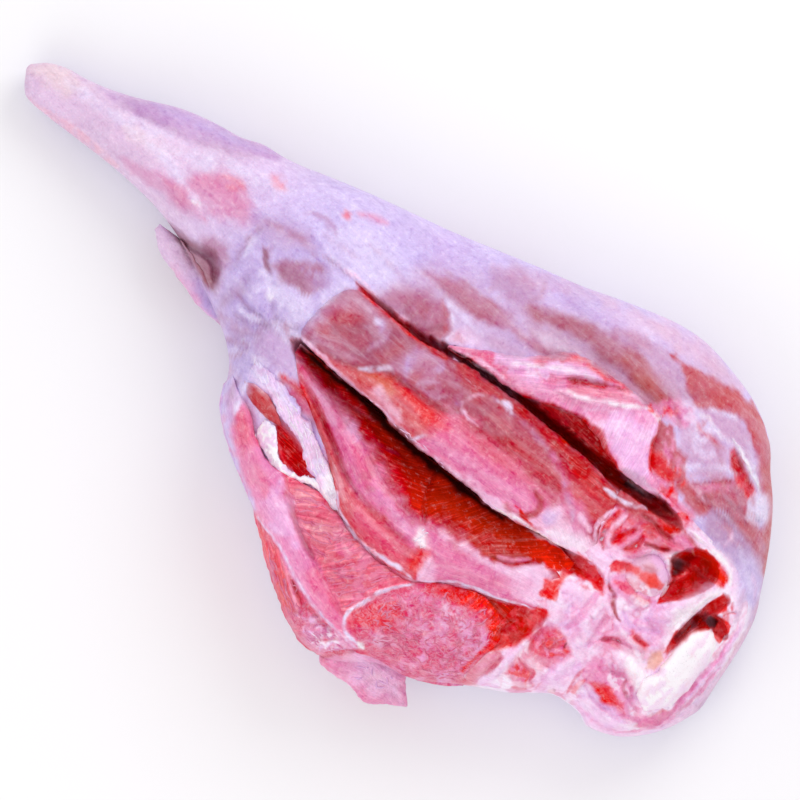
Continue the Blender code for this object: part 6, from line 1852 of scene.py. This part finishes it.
# Strands of fat and torn film: piece, grain angle, spread, how many a square millimetre, length, radius,
# colour and the outline that they grow in.
strandPlaces = {
    "marbling": [
        ("outerSheet", 38, 0.25, 0.040, 11, 0.42, "marble", [(5, -63), (20, -59), (38, -61), (38, -80),
            (18, -72)]),
        ("outerSheet", 52, 0.30, 0.045, 10, 0.42, "marble", [(38, -61), (70, -60), (63, -70), (61, -87),
            (38, -81)]),
        ("outerSheet", 20, 3, 0.11, 3.6, 0.40, "marble", [(72, -66), (84, -56), (114, -52), (119, -78),
            (100, -92), (80, -92), (70, -80)]),
        ("outerSheet", 85, 0.4, 0.06, 6, 0.42, "marble", [(82, -54), (98, -44), (116, -44), (116, -52),
            (96, -53)]),
        ("outerSheet", -36, 0.25, 0.06, 8, 0.40, "marble", [(14, -89), (32, -93), (50, -98), (48, -109),
            (26, -100)]),
        ("outerSheet", 60, 1.2, 0.14, 4, 0.42, "cutPink", [(50, -98), (73, -99), (70, -108), (54, -111)]),
        ("tailFlap", 30, 3, 0.07, 3.6, 0.40, "lilac", [(80, -98), (100, -96), (100, -107), (84, -109)]),
    ],
    "tornThreads": [
        ("tendonStrip", -38, 0.5, 0.40, 4, 0.34, "fat", [(14, -46), (20, -48), (30, -53), (30, -59),
            (20, -58)]),
        ("tendonStrip", -24, 0.3, 0.07, 6, 0.30, "fat", [(-40, -33), (-4, -38), (14, -47), (10, -54),
            (-30, -40)]),
        ("tornFlap", -28, 0.8, 0.20, 3.2, 0.30, "fat", [(-24, -49), (-8, -55), (10, -54), (18, -56),
            (0, -64), (-22, -60)]),
        ("foldedFlap", 60, 0.6, 0.25, 3, 0.28, "fat", [(93, 66), (96, 72.5), (107, 71), (107, 66)]),
        ("lowerBed", 82, 0.6, 0.14, 4, 0.32, "fat", [(60, -36), (67, -37), (67, -44), (60, -44)]),
        ("eyeAndLeaf", 12, 0.6, 0.07, 3, 0.24, "pinkWhite", [(2, -10), (40, -10), (74, -8), (96, -3.5),
            (96, -6), (74, -10.5), (40, -13), (2, -13)]),
    ],
}
strandLook = {
    "marbling": {"Bend": 3.2, "Follow": 1.0, "Seed": 11},
    "tornThreads": {"Bend": 2.6, "Follow": 0.75, "Seed": 23},
}
strandForm = {
    "links": 8,                   # points along each strand
    "sizes": (0.45, 1.35),        # shares of the patch's own length
    "waves": 190,                 # noise cells a metre that bend them
    "waveDetail": 1.5,
    "sides": 5,
    "thickness": (1.15, 0.95),    # in the middle, and how much of it the tips lose
}


def strandTree():
    # scatters thin strands over a patch, each lying along the patch's own grain
    tree = bpy.data.node_groups.new("strandTree", "GeometryNodeTree")
    for name, kind in (("Patch", "Geometry"), ("Bend", "Float"), ("Follow", "Float"), ("Seed", "Int"),
                       ("Finish", "Material")):
        tree.interface.new_socket(name, in_out="INPUT", socket_type="NodeSocket" + kind)
    tree.interface.new_socket("Strands", in_out="OUTPUT", socket_type="NodeSocketGeometry")
    given = addNode(tree, "NodeGroupInput").outputs

    def made(kind, output, inputs, **settings):
        return addNode(tree, kind, inputs, **settings).outputs[output]

    def known(name, kind="FLOAT"):
        return made("GeometryNodeInputNamedAttribute", "Attribute", {"Name": name}, data_type=kind)

    def vectorMath(operation, a, b):
        second = "Scale" if operation == "SCALE" else 1
        return made("ShaderNodeVectorMath", 0, {0: a, second: b}, operation=operation)

    # points scattered over the patch, each turned along the grain
    seed = {"Seed": given["Seed"]}
    inputs = {"Mesh": given["Patch"], "Density": known("crowding"), **seed}
    scatter = addNode(tree, "GeometryNodeDistributePointsOnFaces", inputs, distribute_method="RANDOM")
    aim = {"Vector": scatter.outputs["Normal"]}
    upright = made("FunctionNodeAlignRotationToVector", "Rotation", aim, axis="Z")
    limits = {"Min": (-1, -1, 0), "Max": (1, 1, 0)}
    stray = made("FunctionNodeRandomValue", "Value", {**limits, **seed}, data_type="FLOAT_VECTOR")
    stray = vectorMath("SCALE", stray, known("strandSpread"))
    aim = {"Rotation": upright, "Vector": vectorMath("ADD", known("strandWay", "FLOAT_VECTOR"), stray)}
    turned = made("FunctionNodeAlignRotationToVector", "Rotation", aim, axis="X", pivot_axis="Z")

    # a straight strand on each
    stick = made("GeometryNodeCurvePrimitiveLine", "Curve", {"Start": (-0.5, 0, 0), "End": (0.5, 0, 0)})
    links = made("GeometryNodeResampleCurve", "Curve", {"Curve": stick, "Count": strandForm["links"]})
    limits = dict(zip((2, 3), strandForm["sizes"]))
    size = made("FunctionNodeRandomValue", 1, {**limits, **seed}, data_type="FLOAT")
    laidOut = made("GeometryNodeInstanceOnPoints", "Instances",
                   {"Points": scatter.outputs["Points"], "Instance": links, "Rotation": turned,
                    "Scale": scaled(tree, size, known("strandLength"))})
    real = made("GeometryNodeRealizeInstances", "Geometry", {"Geometry": laidOut})

    # bent by a noise, then pulled back to the patch
    place = made("GeometryNodeInputPosition", 0, {})
    wave = made("ShaderNodeTexNoise", "Color",
                {"Scale": strandForm["waves"], "Detail": strandForm["waveDetail"], "Vector": place})
    wave = vectorMath("SUBTRACT", wave, (0.5, 0.5, 0.5))
    shove = vectorMath("SCALE", wave, scaled(tree, given["Bend"], mm * 2))
    bent = made("GeometryNodeSetPosition", "Geometry", {"Geometry": real, "Offset": shove})
    nearest = {"Geometry": given["Patch"]}
    ground = made("GeometryNodeProximity", "Position", nearest, target_element="FACES")
    pull = vectorMath("SCALE", vectorMath("SUBTRACT", ground, place), given["Follow"])
    pulled = made("GeometryNodeSetPosition", "Geometry", {"Geometry": bent, "Offset": pull})

    # given a thickness that tapers to both tips
    run = made("GeometryNodeSplineParameter", "Factor", {})
    fromMiddle = mathNode(tree, "ABSOLUTE", mathNode(tree, "SUBTRACT", run, 0.5), 0.0)
    lost = mathNode(tree, "POWER", scaled(tree, fromMiddle, 2.0), 2.0)
    middle, share = strandForm["thickness"]
    taper = mathNode(tree, "SUBTRACT", middle, scaled(tree, lost, share))
    circle = {"Resolution": strandForm["sides"], "Radius": 1.0}
    profile = made("GeometryNodeCurvePrimitiveCircle", "Curve", circle)
    swept = made("GeometryNodeCurveToMesh", "Mesh",
                 {"Curve": pulled, "Profile Curve": profile, "Fill Caps": True,
                  "Scale": scaled(tree, taper, known("strandRadius"))})
    whole = made("GeometryNodeRealizeInstances", "Geometry", {"Geometry": swept})
    finish = {"Geometry": whole, "Material": given["Finish"]}
    finished = made("GeometryNodeSetMaterial", "Geometry", finish)
    addNode(tree, "NodeGroupOutput", {"Strands": finished})
    return tree


def meshPlaces(mesh):
    # the mesh's corners in metres, and where they lie on the plan in millimetres
    at = np.empty(len(mesh.vertices) * 3, np.float32)
    mesh.vertices.foreach_get("co", at)
    at = at.reshape(-1, 3).astype(float)
    x = (at[:, 0] - boxMiddle[0]) / mm + plan["middle"][0]
    y = (at[:, 1] - boxMiddle[1]) / mm + plan["middle"][1]
    return at, x, y


def patchFor(name, places):
    # the upper faces inside each outline, every corner knowing its strands
    verts, faces, known, tints = [], [], [], []
    for piece, angle, spread, crowding, length, radius, colour, outline in places:
        mesh = laid[piece].data
        at, x, y = meshPlaces(mesh)
        inside = insideOutline(x, y, outline) > 0
        turn = math.radians(angle)
        strands = (math.cos(turn), math.sin(turn), spread, crowding / mm**2, length * mm, radius * mm)
        renamed = {}
        for face in mesh.polygons:
            if face.normal.z < 0.2 or not all(inside[v] for v in face.vertices):
                continue
            for v in face.vertices:
                if v not in renamed:
                    renamed[v] = len(verts)
                    verts.append(at[v])
                    known.append(strands)
            faces.append([renamed[v] for v in face.vertices])
        tints.append((outline, linear(colour)))
    patch = addMesh(name, verts, faces, meatMaterial)
    known = np.array(known)
    writeAttribute(patch, "strandWay", "FLOAT_VECTOR", np.hstack([known[:, :2], np.zeros((len(known), 1))]))
    for k, key in enumerate(("strandSpread", "crowding", "strandLength", "strandRadius")):
        writeAttribute(patch, key, "FLOAT", known[:, k + 2])
    return patch, tints


def layStrands(name, tree):
    patch, tints = patchFor(name, strandPlaces[name])
    grower = patch.modifiers.new("strands", "NODES")
    grower.node_group = tree
    sockets = {item.name: item.identifier for item in tree.interface.items_tree if item.in_out == "INPUT"}
    for key, value in {**strandLook[name], "Finish": meatMaterial}.items():
        grower[sockets[key]] = value
    seen = patch.evaluated_get(bpy.context.evaluated_depsgraph_get())
    grown = bpy.data.meshes.new_from_object(seen)
    patch.modifiers.remove(grower)
    patch.data = grown
    grown.name = name
    for layer in list(grown.attributes):
        if layer.name.startswith("strand") or layer.name == "crowding":
            grown.attributes.remove(layer)
    at, x, y = meshPlaces(grown)
    colour = np.tile(linear("pinkWhite"), (len(at), 1))
    for outline, shade in tints:
        colour[insideOutline(x, y, outline) > -2.5] = shade
    colour = colour * (0.94 + 0.12 * noiseAt(x, y, 3, 71, 2))[:, None]
    dress(patch, np.clip(colour, 0, 1), at, np.tile([0.1, 0.0, 0.0], (len(at), 1)))
    grown.shade_smooth()
    overlays.append(patch)
    print(name, len(grown.polygons))


strandTool = strandTree()
for name in strandPlaces:
    layStrands(name, strandTool)
print("muscles", len(overlays))


room = {
    "aim": (14.7, -2.6, 48),      # plan place under the camera
    "roll": 43.0,                 # degrees the leg's length is turned in the view
    "height": 2000.0,
    "lens": 200.0,
    "sensor": 36.0,
    "floorSize": 6.0,
    "floorColour": (0.93, 0.93, 0.94, 1),
    "floorRoughness": 0.6,
    "airColour": (1.0, 0.985, 1.0, 1),
    "airStrength": 0.82,
    "lightsAim": (10, 0, 40),
    "lights": {"keyLight": ((-60, 640, 620), 0.6, 2.3), "fillLight": ((80, -640, 620), 0.8, 1.5)},
}


def addRoom():
    half = room["floorSize"] / 2
    floor = addMesh("floor", [(-half, -half, 0), (half, -half, 0), (half, half, 0), (-half, half, 0)],
                    [(0, 1, 2, 3)], bpy.data.materials.new("paleTable"), smooth=False)
    _, shader = nodeKit(floor.data.materials[0])
    feed(shader, {"Base Color": room["floorColour"], "Roughness": room["floorRoughness"]})
    world = bpy.data.worlds.new("softRoom")
    scene.world = world
    world.use_nodes = True
    feed(world.node_tree.nodes["Background"], {"Color": room["airColour"], "Strength": room["airStrength"]})
    target = Vector(toWorld([room["lightsAim"]])[0])
    for name, (place, size, power) in room["lights"].items():
        data = bpy.data.lights.new(name, "AREA")
        data.shape = "DISK"
        data.size = size
        data.energy = power
        lamp = bpy.data.objects.new(name, data)
        lamp.location = toWorld([place])[0]
        lamp.rotation_euler = (target - lamp.location).to_track_quat("-Z", "Y").to_euler()
        scene.collection.objects.link(lamp)
    camera = bpy.data.cameras.new("camera")
    camera.lens = room["lens"]
    camera.sensor_width = room["sensor"]
    cameraObject = bpy.data.objects.new("camera", camera)
    aim = toWorld([room["aim"]])[0]
    cameraObject.location = (aim[0], aim[1], aim[2] + room["height"] * mm)
    cameraObject.rotation_euler = (0, 0, math.radians(room["roll"]))
    scene.collection.objects.link(cameraObject)
    scene.camera = cameraObject
    scene.view_settings.view_transform = "Standard"


addRoom()
for piece in [body, *overlays]:
    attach(piece, "root")
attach(femurBall, "root")
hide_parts("leg_meat")
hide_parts("femur_head")
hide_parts("hip_bone")
